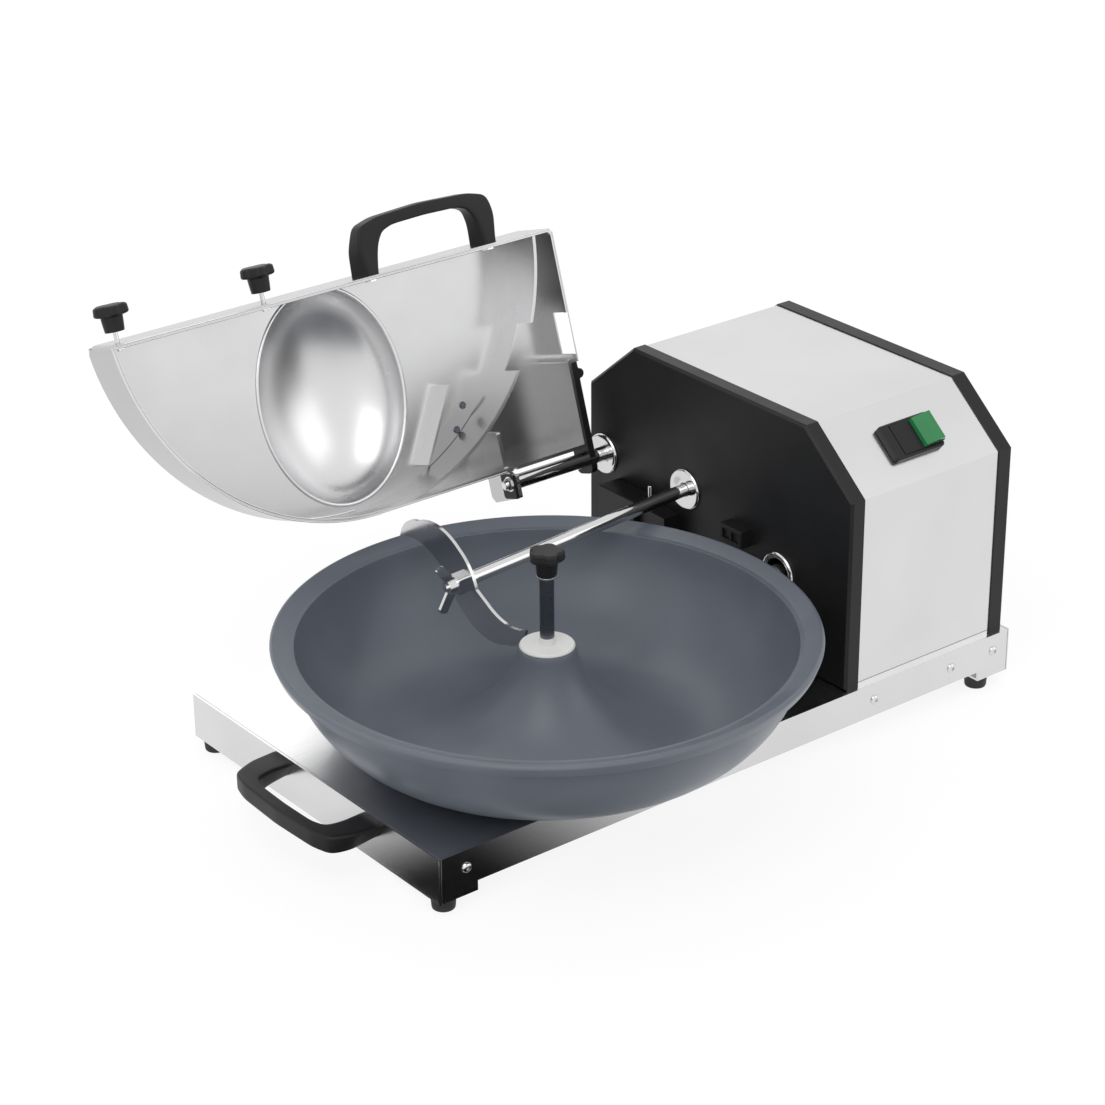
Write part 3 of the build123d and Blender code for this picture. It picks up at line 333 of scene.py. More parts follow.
def metal(name, colour, rough, lines, stretch=(20.0, 900.0, 900.0), depth=0.04, vary=0.06, **sockets):
    """Bare or brushed metal: the lines sway roughness and shade, and lift the surface a little."""
    made, tree, shader = material(name, metallic=1.0, **sockets)
    node = tree.nodes.new("ShaderNodeGroup")
    node.node_tree = lines
    node.inputs["Stretch"].default_value = stretch
    tree.links.new(own_coordinates(tree), node.inputs["Vector"])
    tree.links.new(spread(tree, node.outputs["Lines"], rough - vary, rough + vary), shader.inputs["Roughness"])
    light = np.array(colour)
    tone = shades(tree, spread(tree, node.outputs["Blotch"], 0.0, 1.0), light * 0.94, light)
    tree.links.new(tone, shader.inputs["Base Color"])
    bump(tree, shader, node.outputs["Lines"], depth, 0.0002)
    return made


def moulded(name, colour, rough, grain, scale=900.0, depth=0.2, contrast=0.75, vary=0.08, **sockets):
    """Moulded plastic, rubber or a coating: fine grain for the bump, smudges in gloss and shade."""
    made, tree, shader = material(name, **sockets)
    node = tree.nodes.new("ShaderNodeGroup")
    node.node_tree = grain
    node.inputs["Scale"].default_value = scale
    tree.links.new(own_coordinates(tree), node.inputs["Vector"])
    gloss = spread(tree, node.outputs["Smudge"], rough - vary, rough + vary)
    tree.links.new(gloss, shader.inputs["Roughness"])
    light = np.array(colour)
    tone = shades(tree, spread(tree, node.outputs["Smudge"], 0.0, 1.0), light * contrast, light)
    tree.links.new(tone, shader.inputs["Base Color"])
    bump(tree, shader, node.outputs["Grain"], depth, 0.0003)
    return made


# ---- Sizes and colours a user would change ------------------------------------------
class CutterSizes(PropertyGroup):
    rim_softness: FloatProperty(
        name="Rim softness", description="Rounding of the bowl's edges",
        default=0.0005, min=0.0002, max=0.004, unit="LENGTH")
    trough_radius: FloatProperty(
        name="Trough radius", description="Inner radius of the bowl's round trough",
        default=0.094, min=0.05, max=0.12, unit="LENGTH")
    trough_centre: FloatProperty(
        name="Trough centre", description="From the bowl's axis to the middle of its trough",
        default=0.1165, min=0.08, max=0.15, unit="LENGTH")
    bowl_wall: FloatProperty(
        name="Bowl wall", description="Thickness of the bowl",
        default=0.0065, min=0.002, max=0.012, unit="LENGTH")
    dome_half_width: FloatProperty(
        name="Dome half width", description="Half the dome's mouth along the machine",
        default=0.0736, min=0.03, max=0.1, unit="LENGTH")
    dome_half_height: FloatProperty(
        name="Dome half height", description="Half the dome's mouth out from the hinge",
        default=0.0955, min=0.03, max=0.12, unit="LENGTH")
    dome_rise: FloatProperty(
        name="Dome rise", description="Depth of the dome inside",
        default=0.046, min=0.01, max=0.08, unit="LENGTH")
    lid_height: FloatProperty(
        name="Lid height", description="Inner face of the lid from the hinge's axis",
        default=0.0369, min=0.02, max=0.06, unit="LENGTH")
    cover_sheet: FloatProperty(
        name="Cover sheet", description="Thickness of the cover's sheet",
        default=0.0016, min=0.0005, unit="LENGTH")
    knob_radius: FloatProperty(
        name="Knob radius", description="Radius over the lobes", default=0.0155, min=0.008, unit="LENGTH")
    knob_height: FloatProperty(
        name="Knob height", description="Height of neck and head", default=0.023, min=0.01, unit="LENGTH")
    knob_lobes: IntProperty(name="Knob lobes", description="Grips round each knob", default=5, min=3, max=9)
    knob_bite: FloatProperty(
        name="Knob bite", description="Depth of the hollows between lobes, as a share of the radius",
        default=0.17, min=0.0, max=0.4, subtype="FACTOR")
    screw_socket: FloatProperty(
        name="Screw socket", description="Half width of the hexagon in each screw head",
        default=0.0016, min=0.0005, max=0.003, unit="LENGTH")


class CutterColours(PropertyGroup):
    bowl: FloatVectorProperty(
        name="Bowl", description="Coating of the bowl", default=(0.135, 0.152, 0.185), subtype="COLOR", size=3)
    steel: FloatVectorProperty(
        name="Steel", description="Stainless sheet", default=(0.66, 0.66, 0.665), subtype="COLOR", size=3)
    plastic: FloatVectorProperty(
        name="Plastic", description="Black plastic", default=(0.012, 0.012, 0.013), subtype="COLOR", size=3)
    lens: FloatVectorProperty(
        name="Lens", description="Switch lens", default=(0.01, 0.23, 0.06), subtype="COLOR", size=3)
    washer: FloatVectorProperty(
        name="Washer", description="White plastic", default=(0.80, 0.80, 0.78), subtype="COLOR", size=3)


class CutterStage(PropertyGroup):
    lens: FloatProperty(name="Lens", description="Focal length on a 36 mm sensor", default=100.38, min=10.0)
    yaw: FloatProperty(
        name="Yaw", description="Camera heading from +X", default=math.radians(51.8094), subtype="ANGLE")
    pitch: FloatProperty(
        name="Pitch", description="How far the camera looks down",
        default=math.radians(25.5094), subtype="ANGLE")
    roll: FloatProperty(name="Roll", description="Camera tilt", default=-0.0075597, subtype="ANGLE")
    place: FloatVectorProperty(
        name="Place", description="Camera position",
        default=(-1.5099, -1.85941, 1.3146), size=3, unit="LENGTH")
    ambient: FloatProperty(name="Ambient", description="Strength of the even light", default=0.70, min=0.0)


FINISH = {}


# ---- Stage ---------------------------------------------------------------------------
class CUTTER_OT_stage(Operator):
    """Floor, even light, soft lamps and camera"""

    bl_idname = "cutter.stage"
    bl_label = "Stage"

    def execute(self, context):
        stage = context.scene.cutter_stage
        self.world(context, stage.ambient)
        self.floor(context)
        self.lamps(context)
        self.flags(context)
        self.camera(context, stage)
        context.scene.view_settings.view_transform = "Standard"
        return {"FINISHED"}

    def seen(self, tree):
        """1 for camera, glossy and transmission rays, which all see the white background."""
        path = tree.nodes.new("ShaderNodeLightPath")
        value = path.outputs["Is Camera Ray"]
        for label in ("Is Glossy Ray", "Is Transmission Ray"):
            joined = tree.nodes.new("ShaderNodeMath")
            joined.operation = "MAXIMUM"
            tree.links.new(value, joined.inputs[0])
            tree.links.new(path.outputs[label], joined.inputs[1])
            value = joined.outputs[0]
        return value

    def world(self, context, ambient):
        world = bpy.data.worlds.new("Studio")
        world.use_nodes = True
        tree = world.node_tree
        tree.nodes.clear()
        even = tree.nodes.new("ShaderNodeBackground")
        even.inputs["Strength"].default_value = ambient
        white = tree.nodes.new("ShaderNodeBackground")
        white.inputs["Color"].default_value = (1.0, 1.0, 1.0, 1.0)
        even.inputs["Color"].default_value = (1.0, 1.0, 1.0, 1.0)
        mix = tree.nodes.new("ShaderNodeMixShader")
        out = tree.nodes.new("ShaderNodeOutputWorld")
        tree.links.new(self.seen(tree), mix.inputs["Fac"])
        tree.links.new(even.outputs[0], mix.inputs[1])
        tree.links.new(white.outputs[0], mix.inputs[2])
        tree.links.new(mix.outputs[0], out.inputs["Surface"])
        context.scene.world = world

    def floor(self, context):
        side = 30.0
        glow, glow_share = 1.06, 0.80
        corners = [(-side, -side, 0.0), (side, -side, 0.0), (side, side, 0.0), (-side, side, 0.0)]
        mesh = bpy.data.meshes.new("floor")
        mesh.from_pydata(corners, [], [(0, 1, 2, 3)])
        made = bpy.data.materials.new("Floor")
        made.use_nodes = True
        tree = made.node_tree
        tree.nodes.clear()
        plain = tree.nodes.new("ShaderNodeBsdfDiffuse")
        plain.inputs["Color"].default_value = (0.94, 0.94, 0.94, 1.0)
        white = tree.nodes.new("ShaderNodeEmission")
        white.inputs["Strength"].default_value = glow
        share = tree.nodes.new("ShaderNodeMath")
        share.operation = "MULTIPLY"
        share.inputs[1].default_value = glow_share
        mix = tree.nodes.new("ShaderNodeMixShader")
        out = tree.nodes.new("ShaderNodeOutputMaterial")
        tree.links.new(self.seen(tree), share.inputs[0])
        tree.links.new(share.outputs[0], mix.inputs["Fac"])
        tree.links.new(plain.outputs[0], mix.inputs[1])
        tree.links.new(white.outputs[0], mix.inputs[2])
        tree.links.new(mix.outputs[0], out.inputs["Surface"])
        mesh.materials.append(made)
        floor = bpy.data.objects.new("floor", mesh)
        context.scene.collection.objects.link(floor)

    def lamps(self, context):
        lamps = (
            ("key", (-1.6, -1.2, 2.4), 2.0, 20.0),
            ("fill", (1.8, -2.2, 1.6), 1.8, 7.0),
            ("back", (0.6, 2.2, 2.2), 1.6, 10.0),
        )
        for name, origin, size, power in lamps:
            data = bpy.data.lights.new(name, "AREA")
            data.size = size
            data.energy = power
            lamp = bpy.data.objects.new(name, data)
            lamp.location = origin
            aim = Vector((0.0, 0.0, 0.15)) - Vector(origin)
            lamp.rotation_euler = aim.to_track_quat("-Z", "Y").to_euler()
            context.scene.collection.objects.link(lamp)

    def flags(self, context):
        """Dark cards with soft edges, seen only in reflections, as a studio hangs them."""
        level, clear_from = 0.0006, 0.35
        cards = (
            ("flag_side", (-0.36, 0.02), (-0.62, -0.172), 0),
            ("flag_front", (-0.42, -0.302), (-0.20, 0.04), 1),
        )
        for name, (x0, x1), (y0, y1), axis in cards:
            corners = [(x0, y0, level), (x1, y0, level), (x1, y1, level), (x0, y1, level)]
            mesh = bpy.data.meshes.new(name)
            mesh.from_pydata(corners, [], [(0, 1, 2, 3)])
            made = bpy.data.materials.new(name)
            made.use_nodes = True
            tree = made.node_tree
            tree.nodes.clear()
            place_of = tree.nodes.new("ShaderNodeSeparateXYZ")
            tree.links.new(own_coordinates(tree), place_of.inputs[0])
            values = [corner[axis] for corner in corners]
            ramp = tree.nodes.new("ShaderNodeMapRange")
            ramp.interpolation_type = "SMOOTHSTEP"
            ramp.inputs["From Min"].default_value = (
                min(values) + clear_from * (max(values) - min(values)))
            ramp.inputs["From Max"].default_value = max(values)
            tree.links.new(place_of.outputs[axis], ramp.inputs["Value"])
            dark = tree.nodes.new("ShaderNodeBsdfDiffuse")
            dark.inputs["Color"].default_value = (0.004, 0.004, 0.004, 1.0)
            clear = tree.nodes.new("ShaderNodeBsdfTransparent")
            mix = tree.nodes.new("ShaderNodeMixShader")
            out = tree.nodes.new("ShaderNodeOutputMaterial")
            tree.links.new(ramp.outputs["Result"], mix.inputs["Fac"])
            tree.links.new(dark.outputs[0], mix.inputs[1])
            tree.links.new(clear.outputs[0], mix.inputs[2])
            tree.links.new(mix.outputs[0], out.inputs["Surface"])
            mesh.materials.append(made)
            card = bpy.data.objects.new(name, mesh)
            card.visible_camera = False
            card.visible_diffuse = False
            card.visible_shadow = False
            context.scene.collection.objects.link(card)

    def camera(self, context, stage):
        yaw, pitch, roll = stage.yaw, stage.pitch, stage.roll
        ahead = Vector((math.cos(yaw) * math.cos(pitch), math.sin(yaw) * math.cos(pitch), -math.sin(pitch)))
        right = Vector((math.sin(yaw), -math.cos(yaw), 0.0))
        up = right.cross(ahead)
        across = math.cos(roll) * right + math.sin(roll) * up
        above = -math.sin(roll) * right + math.cos(roll) * up
        data = bpy.data.cameras.new("camera")
        data.lens = stage.lens
        data.sensor_width = 36.0
        data.clip_end = 100.0
        camera = bpy.data.objects.new("camera", data)
        turn = Matrix((across, above, -ahead)).transposed().to_4x4()
        camera.matrix_world = Matrix.Translation(stage.place) @ turn
        context.scene.collection.objects.link(camera)
        context.scene.camera = camera


# ---- Finishes of the CAD nodes --------------------------------------------------------
class CUTTER_OT_finishes(Operator):
    """Materials, and their place on every CAD node"""

    bl_idname = "cutter.finishes"
    bl_label = "Finishes"

    def execute(self, context):
        colours = context.scene.cutter_colours
        lines, grain = brushed_group(), grain_group()
        steel = np.array(colours.steel)
        black = np.array(colours.plastic)
        FINISH.update(
            stainless=metal("Satin stainless", steel * 1.08, 0.24, lines, depth=0.012, vary=0.03),
            # Painted shade: the cover is the same stainless made darker (times 0.82) to stand in for the darker
            # reflections on the polished lid; only its low roughness is polish.
            cover_steel=metal("Polished stainless painted darker", steel * 0.82, 0.25, lines, stretch=(8.0, 26.0, 8.0),
                              depth=0.02, vary=0.03),
            # Painted light: the dome, pressed into the same stainless cover, is made lighter (times 1.12) than the
            # cover sheet around it.
            dished_steel=metal("Dished stainless painted lighter", steel * 1.12, 0.30, lines, stretch=(9.0, 9.0, 9.0),
                               depth=0.05, vary=0.05),
            bright_metal=metal("Chrome", steel * 1.05, 0.08, lines, depth=0.01, vary=0.03),
            dark_metal=metal("Dark satin steel", (0.16, 0.17, 0.19), 0.30, lines, depth=0.01, vary=0.04),
            knife_steel=metal("Blade steel", steel * 0.95, 0.16, lines, stretch=(500.0, 500.0, 60.0)),
            drive_steel=metal("Machined steel", steel * 0.7, 0.32, lines, stretch=(900.0, 900.0, 60.0)),
            cast_alloy=moulded("Cast alloy", (0.42, 0.42, 0.43), 0.5, grain, depth=0.3,
                               Specular_IOR_Level=0.5),
            black_plastic=moulded("Black plastic", black, 0.42, grain, depth=0.12,
                                  Specular_IOR_Level=0.28),
            foot_rubber=moulded("Foot rubber", (0.018, 0.018, 0.018), 0.65, grain, scale=700.0, depth=0.35),
            bowl_metal=moulded("Bowl coating", colours.bowl, 0.36, grain, scale=1600.0, depth=0.05,
                               contrast=0.93),
            white_plastic=moulded("White plastic", colours.washer, 0.38, grain, depth=0.04, contrast=0.96),
            green_lens=moulded("Green lens", colours.lens, 0.15, grain, depth=0.02, vary=0.03,
                               Coat_Weight=0.4),
            motor_paint=moulded("Motor paint", (0.09, 0.10, 0.12), 0.5, grain, scale=500.0),
        )
        for part in frame["record"]["subparts"]:
            slots = frame["nodes"][part["node"]].data.materials
            slots.clear()
            slots.append(FINISH[part["material_slot"]])
        return {"FINISHED"}


# ---- Bowl ------------------------------------------------------------------------------
class CUTTER_OT_bowl(Operator):
    """The turned bowl with its rolled rim, the white washer on its cone and the clamp post"""

    bl_idname = "cutter.bowl"
    bl_label = "Bowl"

    def execute(self, context):
        sizes = context.scene.cutter_sizes
        axis = joint("bowl_spin")[0] * (1.0, 1.0, 0.0)
        profile = softened(self.section(sizes), sizes.rim_softness, 150)
        piece("bowl_body", [(upright(profile, 256, axis), True)], "bowl_unit", "bowl_metal", "bowl")
        low, high = ends("bowl_washer")
        radius, bore = (high[0] - low[0]) / 2, 0.0034
        washer = [(bore, low[2]), (radius - 0.0006, low[2]), (radius, low[2] + 0.0012),
                  (radius - 0.0012, high[2]), (bore, high[2])]
        rounded = softened(washer, 0.0004, 60)
        piece("washer", [(upright(rounded, 96, axis), True)], "bowl_unit", "white_plastic", "bowl_washer")
        self.turned_node("post_foot", "clamp_post_boss", axis, "white_plastic", 0.0004)
        self.turned_node("post_ring", "clamp_post_washer", axis, "bright_metal", 0.0002)
        low, high = ends("clamp_post")
        foot, radius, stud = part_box("clamp_post_boss")[1][2], (high[0] - low[0]) / 2, 0.003
        line = [(0.0, low[2]), (stud, low[2]), (stud, foot), (radius - 0.0004, foot),
                (radius, foot + 0.001), (radius, high[2]), (0.0, high[2])]
        rounded = softened(line, 0.0003, 60, closed=False)
        piece("post", [(upright(rounded, 64, axis), False)], "bowl_clamp", "dark_metal", "clamp_post")
        return {"FINISHED"}

    def turned_node(self, name, node, axis, slot, softness):
        """A plain turned boss or ring, its edges rounded, in its node's box."""
        low, high = ends(node)
        radius = (high[0] - low[0]) / 2
        line = [(0.0, low[2]), (radius, low[2]), (radius, high[2]), (0.0, high[2])]
        rounded = softened(line, softness, 40, closed=False)
        piece(name, [(upright(rounded, 64, axis), False)], "bowl_clamp", slot, node)

    def section(self, sizes):
        """Radius and height round the bowl's wall: cone, round trough, sloping rim, lip and back below."""
        inner, wall, centre = sizes.trough_radius, sizes.bowl_wall, sizes.trough_centre
        level = joint("knife_spin")[0][2]
        low, high = ends("bowl")
        top, rim = high[2], (high[0] - low[0]) / 2
        bush_low, bush_high = ends("bowl_bushing")
        bushing, bottom = (bush_high[0] - bush_low[0]) / 2, bush_low[2]
        hub, cone, step, under, ledge = bushing + 0.006, top - 0.015, top - 0.0055, top - 0.024, top - 0.0068

        def arc(radius, first, last):
            start = math.pi - math.asin((first - level) / radius)
            finish = 2.0 * math.pi + math.asin((last - level) / radius)
            turn = np.linspace(start, finish, 90)
            return np.stack([centre + radius * np.cos(turn), level + radius * np.sin(turn)], axis=1)

        lip = rim - 0.003
        return np.concatenate([
            [(bushing, cone)],
            arc(inner, cone, step),
            [(rim - 0.017, step), (lip, top), (rim - 0.001, top - 0.001), (rim, top - 0.003),
             (lip, top - 0.011), (lip - 0.0011, top - 0.011), (lip - 0.0011, ledge)],
            arc(inner + wall, under, ledge)[::-1],
            [(hub, under), (hub, bottom), (bushing, bottom)],
        ])


# ---- Knobs -------------------------------------------------------------------------------
class CUTTER_OT_knobs(Operator):
    """The three lobed clamp knobs"""

    bl_idname = "cutter.knobs"
    bl_label = "Knobs"

    def execute(self, context):
        sizes = context.scene.cutter_sizes
        bowl_seat = joint("bowl_spin")[0] * (1.0, 1.0, 0.0) + (0.0, 0.0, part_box("clamp_knob")[0][2])
        stations = [("bowl_knob", "clamp_knob", "bowl_clamp", bowl_seat, np.array([0.0, 0.0, 1.0]))]
        for side in ("left", "right"):
            edge, out = joint(f"cover_clamp_{side}_turn")
            seat = edge + out * 0.010
            stations.append((f"{side}_knob", f"cover_knob_{side}", f"cover_clamp_{side}", seat, out))
        for name, node, body, seat, up in stations:
            grid = place(turned(self.profile(sizes), 180, self.lobes(sizes)), seat, basis(up))
            piece(name, [(grid, False)], body, "black_plastic", node)
        return {"FINISHED"}

    def profile(self, sizes):
        """Radius and height from the foot up: a tapered neck, the head's underside, its side and domed top."""
        neck, radius, top = sizes.knob_radius * 0.62, sizes.knob_radius, sizes.knob_height
        shoulder = top - 0.009
        line = [(0.0, 0.0), (neck * 0.88, 0.0), (neck * 0.94, shoulder * 0.4), (neck, shoulder - 0.001),
                (radius * 0.92, shoulder), (radius, shoulder + 0.0014), (radius * 0.96, top - 0.0016),
                (radius * 0.84, top - 0.0003), (radius * 0.4, top), (0.0, top)]
        return softened(line, 0.0005, 90, closed=False)

    def lobes(self, sizes):
        """Radius times one less a share of a raised cosine of the turn, deeper in the head than below."""
        def scale(turn, radius, height):
            wave = ((1.0 + np.cos(sizes.knob_lobes * turn)) / 2.0) ** 1.6
            deep = np.clip((height - sizes.knob_height + 0.011) / 0.003, 0.0, 1.0)
            return 1.0 - wave * (0.02 + (sizes.knob_bite - 0.02) * deep)
        return scale


# ---- Handles -----------------------------------------------------------------------------
class CUTTER_OT_handles(Operator):
    """The two moulded bow handles"""

    bl_idname = "cutter.handles"
    bl_label = "Handles"

    def execute(self, context):
        low, high = ends("front_handle")
        front_root = np.array([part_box("front_apron")[0][0], (low[1] + high[1]) / 2, high[2]])
        front_axes = np.array([[0.0, 1.0, 0.0], [-1.0, 0.0, 0.0], [0.0, 0.0, 1.0]]).T
        self.bow("front_grip", "front_handle", "machine", front_root, front_axes)
        edge, out = joint("cover_clamp_left_turn")
        along = np.array([-1.0, 0.0, 0.0])
        lift = np.cross(along, out)
        low, high = ends("cover_handle")
        cover_root = edge * (0.0, 1.0, 1.0) + lift * 0.007 + np.array([(low[0] + high[0]) / 2, 0.0, 0.0])
        self.bow("cover_grip", "cover_handle", "cover", cover_root, np.stack([along, out, lift], axis=1))
        return {"FINISHED"}

    def bow(self, name, node, body, root, axes):
        """Four rails run round the bow, two on the flat face and two on the back, where the legs
        narrow to a keel at the sheet; the section between them is a square with rounded corners."""
        half, reach, grip, leg, depth = 0.080, 0.051, 0.0115, 0.0305, 0.016
        top = reach - grip
        keel, keel_half = 0.0645, 0.005
        narrow_until, narrow_power = 0.8, 1.3
        outer = self.rail([(-half, 0), (-half + 0.002, reach * 0.45), (-half + 0.011, reach * 0.86),
                           (-half + 0.030, reach - 0.0022), (0, reach), (half - 0.030, reach - 0.0022),
                           (half - 0.011, reach * 0.86), (half - 0.002, reach * 0.45), (half, 0)])
        inner = self.rail([(leg - half, 0), (leg - half - 0.0015, top * 0.5), (leg - half + 0.001, top * 0.86),
                           (leg - half + 0.014, top - 0.001), (0, top), (half - leg - 0.014, top - 0.001),
                           (half - leg - 0.001, top * 0.86), (half - leg + 0.0015, top * 0.5), (half - leg, 0)])
        blend = np.clip(outer[:, 1:] / (reach * narrow_until), 0.0, 1.0) ** narrow_power
        narrow = np.stack([np.sign(outer[:, 0]) * (keel + keel_half), outer[:, 1]], axis=1)
        outer_back = outer * blend + narrow * (1.0 - blend)
        blend = np.clip(inner[:, 1:] / (top * narrow_until), 0.0, 1.0) ** narrow_power
        narrow = np.stack([np.sign(inner[:, 0]) * (keel - keel_half), inner[:, 1]], axis=1)
        inner_back = inner * blend + narrow * (1.0 - blend)
        turn = np.linspace(0.0, 2.0 * np.pi, 56, endpoint=False)
        power = 0.26         # small: a square with rounded corners
        across = np.sign(np.cos(turn)) * np.abs(np.cos(turn)) ** power
        through = np.sign(np.sin(turn)) * np.abs(np.sin(turn)) ** power
        far, near = ((1.0 + across) / 2.0)[None, :, None], ((1.0 + through) / 2.0)[None, :, None]
        front = outer[:, None] * far + inner[:, None] * (1.0 - far)
        back = outer_back[:, None] * far + inner_back[:, None] * (1.0 - far)
        flat = front * near + back * (1.0 - near)
        level = -depth * (1.0 - near[..., 0]) * np.ones(flat.shape[:2])
        grid = np.concatenate([flat, level[..., None]], axis=2)
        piece(name, [(capped(place(grid, root, axes)), False)], body, "black_plastic", node, sharp=50.0)

    def rail(self, corners):
        """One edge of the bow: its corners rounded, then 140 points at even steps."""
        line = softened(corners, 0.004, 400, closed=False)
        reach = np.concatenate([[0.0], np.cumsum(np.linalg.norm(np.diff(line, axis=0), axis=1))])
        wanted = np.linspace(0.0, reach[-1], 140)
        return np.stack([np.interp(wanted, reach, line[:, 0]), np.interp(wanted, reach, line[:, 1])], axis=1)


# ---- Cover -------------------------------------------------------------------------------
class CUTTER_OT_cover(Operator):
    """The dished dome pressed into the cover with its bead, the rolled edges and the rivet heads"""

    bl_idname = "cutter.cover"
    bl_label = "Cover"

    def execute(self, context):
        self.dome(context.scene.cutter_sizes)
        self.edges()
        self.bracket()
        return {"FINISHED"}

    def dome(self, sizes):
        """Half an ellipsoid shell: the inside, a half-round bead about its mouth, and the outside a sheet
        away. The far side is cut off at the cover's straight edge."""
        origin, axes = cover_frame()
        low, high = ends("cover_dome")
        dome_out = 0.1172
        bead_wide, bead_deep = 0.0018, 0.0014
        centre = np.array([(low[0] + high[0]) / 2 - origin[0], dome_out, sizes.lid_height])
        wide, tall = sizes.dome_half_width, sizes.dome_half_height
        rise, sheet = sizes.dome_rise, sizes.cover_sheet
        rows, rounds, columns = 70, 16, 200
        climb = np.linspace(np.pi / 2.0, 0.0, rows)
        bead = np.linspace(0.0, np.pi, rounds)
        share = np.concatenate([np.cos(climb), np.ones(rounds), np.cos(climb[::-1])])
        outside = climb[::-1]
        grow = np.concatenate([np.zeros(rows), bead_wide * (1.0 - np.cos(bead)), sheet * np.cos(outside)])
        height = np.concatenate(
            [rise * np.sin(climb), -bead_deep * np.sin(bead), (rise + sheet) * np.sin(outside)])
        turn = np.linspace(0.0, 2.0 * np.pi, columns, endpoint=False)
        x = (wide * share + grow)[:, None] * np.cos(turn)
        y = np.minimum((tall * share + grow)[:, None] * np.sin(turn), COVER_REACH - 0.0017 - centre[1])
        grid = np.stack([x, y, height[:, None] * np.ones(columns)], axis=2)
        piece("dome", [(place(grid + centre, origin, axes), False)], "cover", "cover_steel", "cover_dome",
              finish="dished_steel")

    def edges(self):
        """Rolled edges: wires along the hem's two corners and the crease between lid and wall."""
        origin, axes = cover_frame()
        grids, steps, softness = [], 120, 0.002
        arcs = ((0.2226, HEM_LEVEL, HEM_WIRE), (0.2200, HEM_LEVEL, HEM_WIRE),
                (0.2208, CREASE_LEVEL, CREASE_WIRE))
        for radius, level, thick in arcs:
            first = math.asin((DISC_OUT - COVER_EDGE) / radius) + np.pi
            turn = np.linspace(first, 1.5 * np.pi, steps)
            x, y = DISC_ALONG + radius * np.cos(turn), DISC_OUT + radius * np.sin(turn)
            arc = np.stack([x, y, np.full(steps, level)], axis=1)
            grids.append((place(wire(arc, thick, softness), origin, axes), False))
        runs = (
            ((-0.030, 0.2152), (0.425, 0.2152), HEM_LEVEL, HEM_WIRE),
            ((-0.032, 0.2130), (0.424, 0.2130), HEM_LEVEL, HEM_WIRE),
            ((-0.033, 0.2138), (0.412, 0.2138), CREASE_LEVEL, CREASE_WIRE),
            ((0.4272, 0.212), (0.4272, 0.0915), HEM_LEVEL, HEM_WIRE),
            ((0.1870, 0.0128), (0.325, 0.0128), HEM_LEVEL, HEM_WIRE),
        )
        for first, last, level, thick in runs:
            points = [(*first, level), (*last, level)]
            grids.append((place(wire(points, thick, softness, count=24), origin, axes), False))
        piece("rolled_edges", grids, "cover", "cover_steel", finish="bright_metal")

    def bracket(self):
        """Two rivets: a flat head whose ring is raised in four arcs, by a bell of the radius times a wave
        of the turn."""
        origin, axes = cover_frame()
        heads, radius_of_disc = [], 0.223
        for along, out in ((0.605, 0.713), (0.552, 0.803)):
            centre = np.array([DISC_ALONG + along * radius_of_disc, DISC_OUT - out * radius_of_disc,
                               0.0369 - 0.0016])
            radius = np.concatenate([np.linspace(0.0, 0.0034, 22), [0.0036, 0.0036, 0.0]])
            turn = np.linspace(0.0, 2.0 * np.pi, 72, endpoint=False)
            wave = np.clip(2.2 * np.abs(np.cos(2.0 * turn)) - 0.5, 0.0, 1.0)
            lift = 0.0004 + 0.0009 * np.exp(-(((radius - 0.0027) / 0.00035) ** 2))[:, None] * wave
            lift[-3:] = np.array([0.0003, 0.0, 0.0])[:, None]
            x, y = radius[:, None] * np.cos(turn), radius[:, None] * np.sin(turn)
            heads.append((place(np.stack([x, y, -lift], axis=2) + centre, origin, axes), False))
        piece("rivet_heads", heads, "cover", "cover_steel", "cover_rivets", finish="dark_metal")


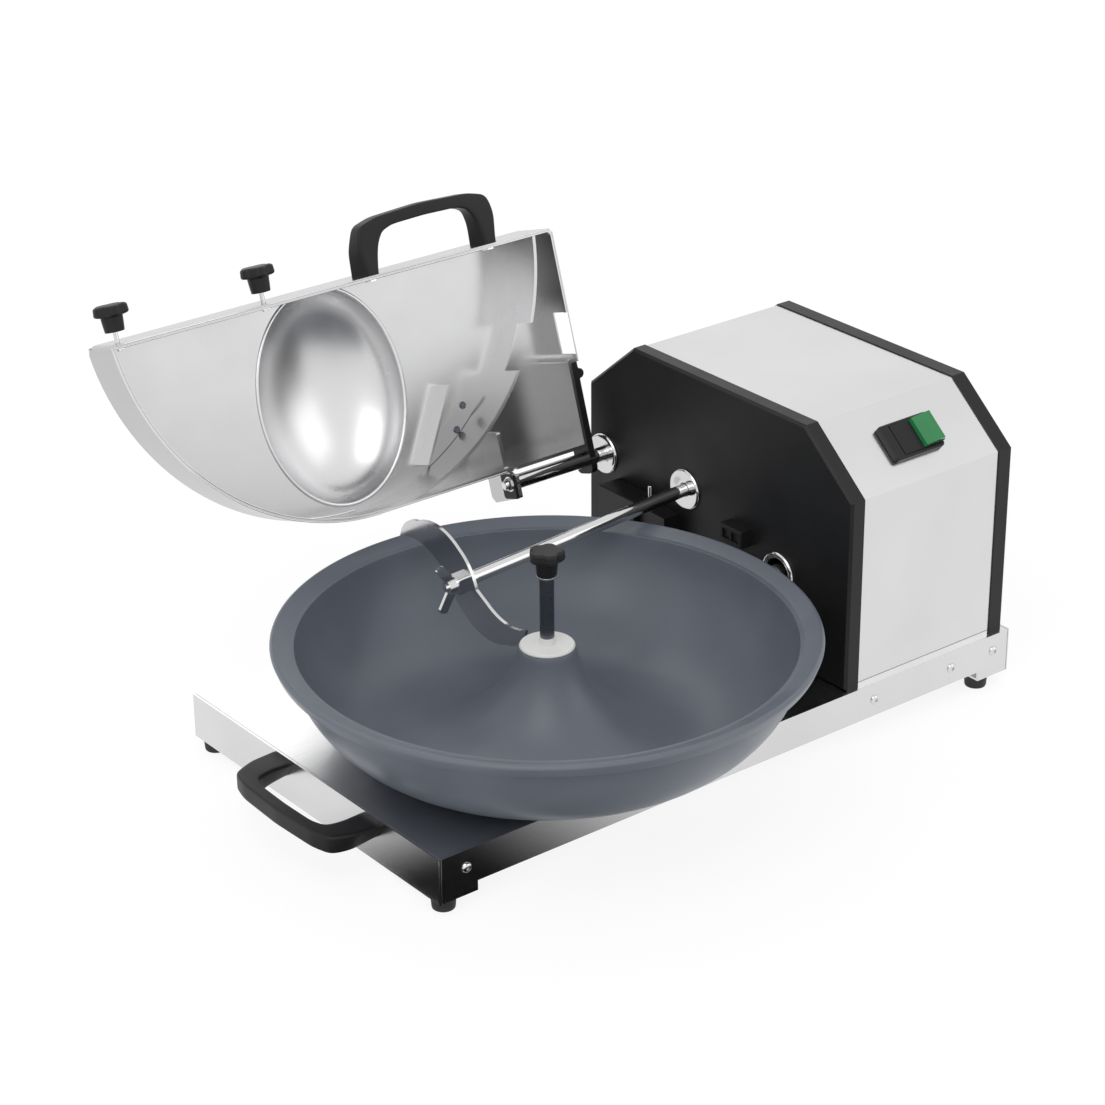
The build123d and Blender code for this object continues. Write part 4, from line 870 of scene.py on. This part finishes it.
# ---- Fittings ------------------------------------------------------------------------------
class CUTTER_OT_fittings(Operator):
    """Feet, socket screws and the chrome flanges on the front panel"""

    bl_idname = "cutter.fittings"
    bl_label = "Feet, screws and flanges"

    def execute(self, context):
        self.feet()
        self.screws(context.scene.cutter_sizes)
        self.flanges()
        return {"FINISHED"}

    def feet(self):
        """A tapered rubber foot: its tread dished, its side waisted under a thin collar."""
        line = [(0.0, 0.0014), (0.0062, 0.0012), (0.0072, 0.0), (0.0094, 0.0), (0.0098, 0.0012),
                (0.0104, 0.0088), (0.011, 0.0094), (0.011, 0.012), (0.0, 0.012)]
        rounded = softened(line, 0.0004, 50, closed=False)
        for corner in ("front_right", "front_left", "rear_right", "rear_left"):
            centre = middle(f"foot_{corner}") * (1.0, 1.0, 0.0)
            piece(f"rubber_{corner}", [(upright(rounded, 56, centre), False)], "machine", "foot_rubber",
                  f"foot_{corner}")

    def screws(self, sizes):
        """Eight domed heads; the rows inside the socket follow a hexagon instead of a circle."""
        socket = sizes.screw_socket
        line = [(0.0046, 0.0), (0.0045, 0.0006), (0.0039, 0.0015), (0.0030, 0.0021), (socket * 1.35, 0.0024),
                (socket * 1.15, 0.0024), (socket * 1.1, 0.0010), (0.0, 0.0008)]
        rounded = softened([(0.0, 0.0)] + line, 0.00014, 60, closed=False)

        def hexagon(turn, radius, height):
            sixth = np.mod(turn, np.pi / 3.0) - np.pi / 6.0
            inside = (radius < socket * 1.2) & (height > 0.0004)
            return np.where(inside, np.cos(np.pi / 6.0) / np.cos(sixth), 1.0)

        low, high = ends("base_tray")
        grids = []
        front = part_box("front_apron")[0][0]
        for side, out in ((low[1], -1.0), (high[1], 1.0)):
            for station in (0.027, 0.473, 0.567, 0.620):
                centre = np.array([front + station, side, 0.037])
                grids.append((place(turned(rounded, 48, hexagon), centre, basis((0.0, out, 0.0))), False))
        piece("socket_screws", grids, "machine", "bright_metal", "skirt_screws", sharp=30.0)

    def flanges(self):
        """Turned rings: a flat seat, a rounded outer lip and a shallow dish down to the bore."""
        for name, node, line_of, bore in (
            ("hinge_ring", "hinge_flange", "cover_hinge", 0.0070),
            ("shaft_ring", "shaft_flange", "knife_spin", 0.0063),
            ("drive_ring", "drive_flange", "pinion_spin", 0.0140),
        ):
            low, high = ends(node)
            radius = (high[1] - low[1]) / 2
            centre = np.array([high[0], (low[1] + high[1]) / 2, (low[2] + high[2]) / 2])
            thick = high[0] - low[0]
            line = [(bore, 0.0), (radius, 0.0), (radius, thick * 0.5), (radius - 0.0012, thick),
                    (radius - 0.0034, thick), (bore + 0.0022, thick * 0.6), (bore, thick * 0.6)]
            rounded = softened(line, 0.00035, 60)
            piece(name, [(place(turned(rounded, 96), centre, basis((-1.0, 0.0, 0.0), (0.0, 1.0, 0.0))), True)],
                  "machine", "bright_metal", node)


CLASSES = [
    CutterSizes, CutterColours, CutterStage, CUTTER_OT_stage, CUTTER_OT_finishes, CUTTER_OT_bowl,
    CUTTER_OT_knobs, CUTTER_OT_handles, CUTTER_OT_cover, CUTTER_OT_fittings,
]


class CUTTER_PT_panel(Panel):
    """Sizes, colours and one button for each group of pieces"""

    bl_label = "Bowl Cutter"
    bl_idname = "CUTTER_PT_panel"
    bl_space_type = "VIEW_3D"
    bl_region_type = "UI"
    bl_category = "Bowl Cutter"

    def draw(self, context):
        for holder in (context.scene.cutter_sizes, context.scene.cutter_colours, context.scene.cutter_stage):
            for label in holder.bl_rna.properties.keys():
                if label not in {"rna_type", "name"}:
                    self.layout.prop(holder, label)
        for made in CLASSES:
            if issubclass(made, Operator):
                self.layout.operator(made.bl_idname)


def register():
    for made in (*CLASSES, CUTTER_PT_panel):
        bpy.utils.register_class(made)
    bpy.types.Scene.cutter_sizes = PointerProperty(type=CutterSizes)
    bpy.types.Scene.cutter_colours = PointerProperty(type=CutterColours)
    bpy.types.Scene.cutter_stage = PointerProperty(type=CutterStage)


def unregister():
    del bpy.types.Scene.cutter_stage
    del bpy.types.Scene.cutter_colours
    del bpy.types.Scene.cutter_sizes
    for made in (CUTTER_PT_panel, *reversed(CLASSES)):
        bpy.utils.unregister_class(made)


def main():
    register()
    bpy.ops.cutter.stage()
    bpy.ops.cutter.finishes()
    for step in ("bowl", "knobs", "handles", "cover", "fittings"):
        getattr(bpy.ops.cutter, step)()


if __name__ == "__main__":
    main()
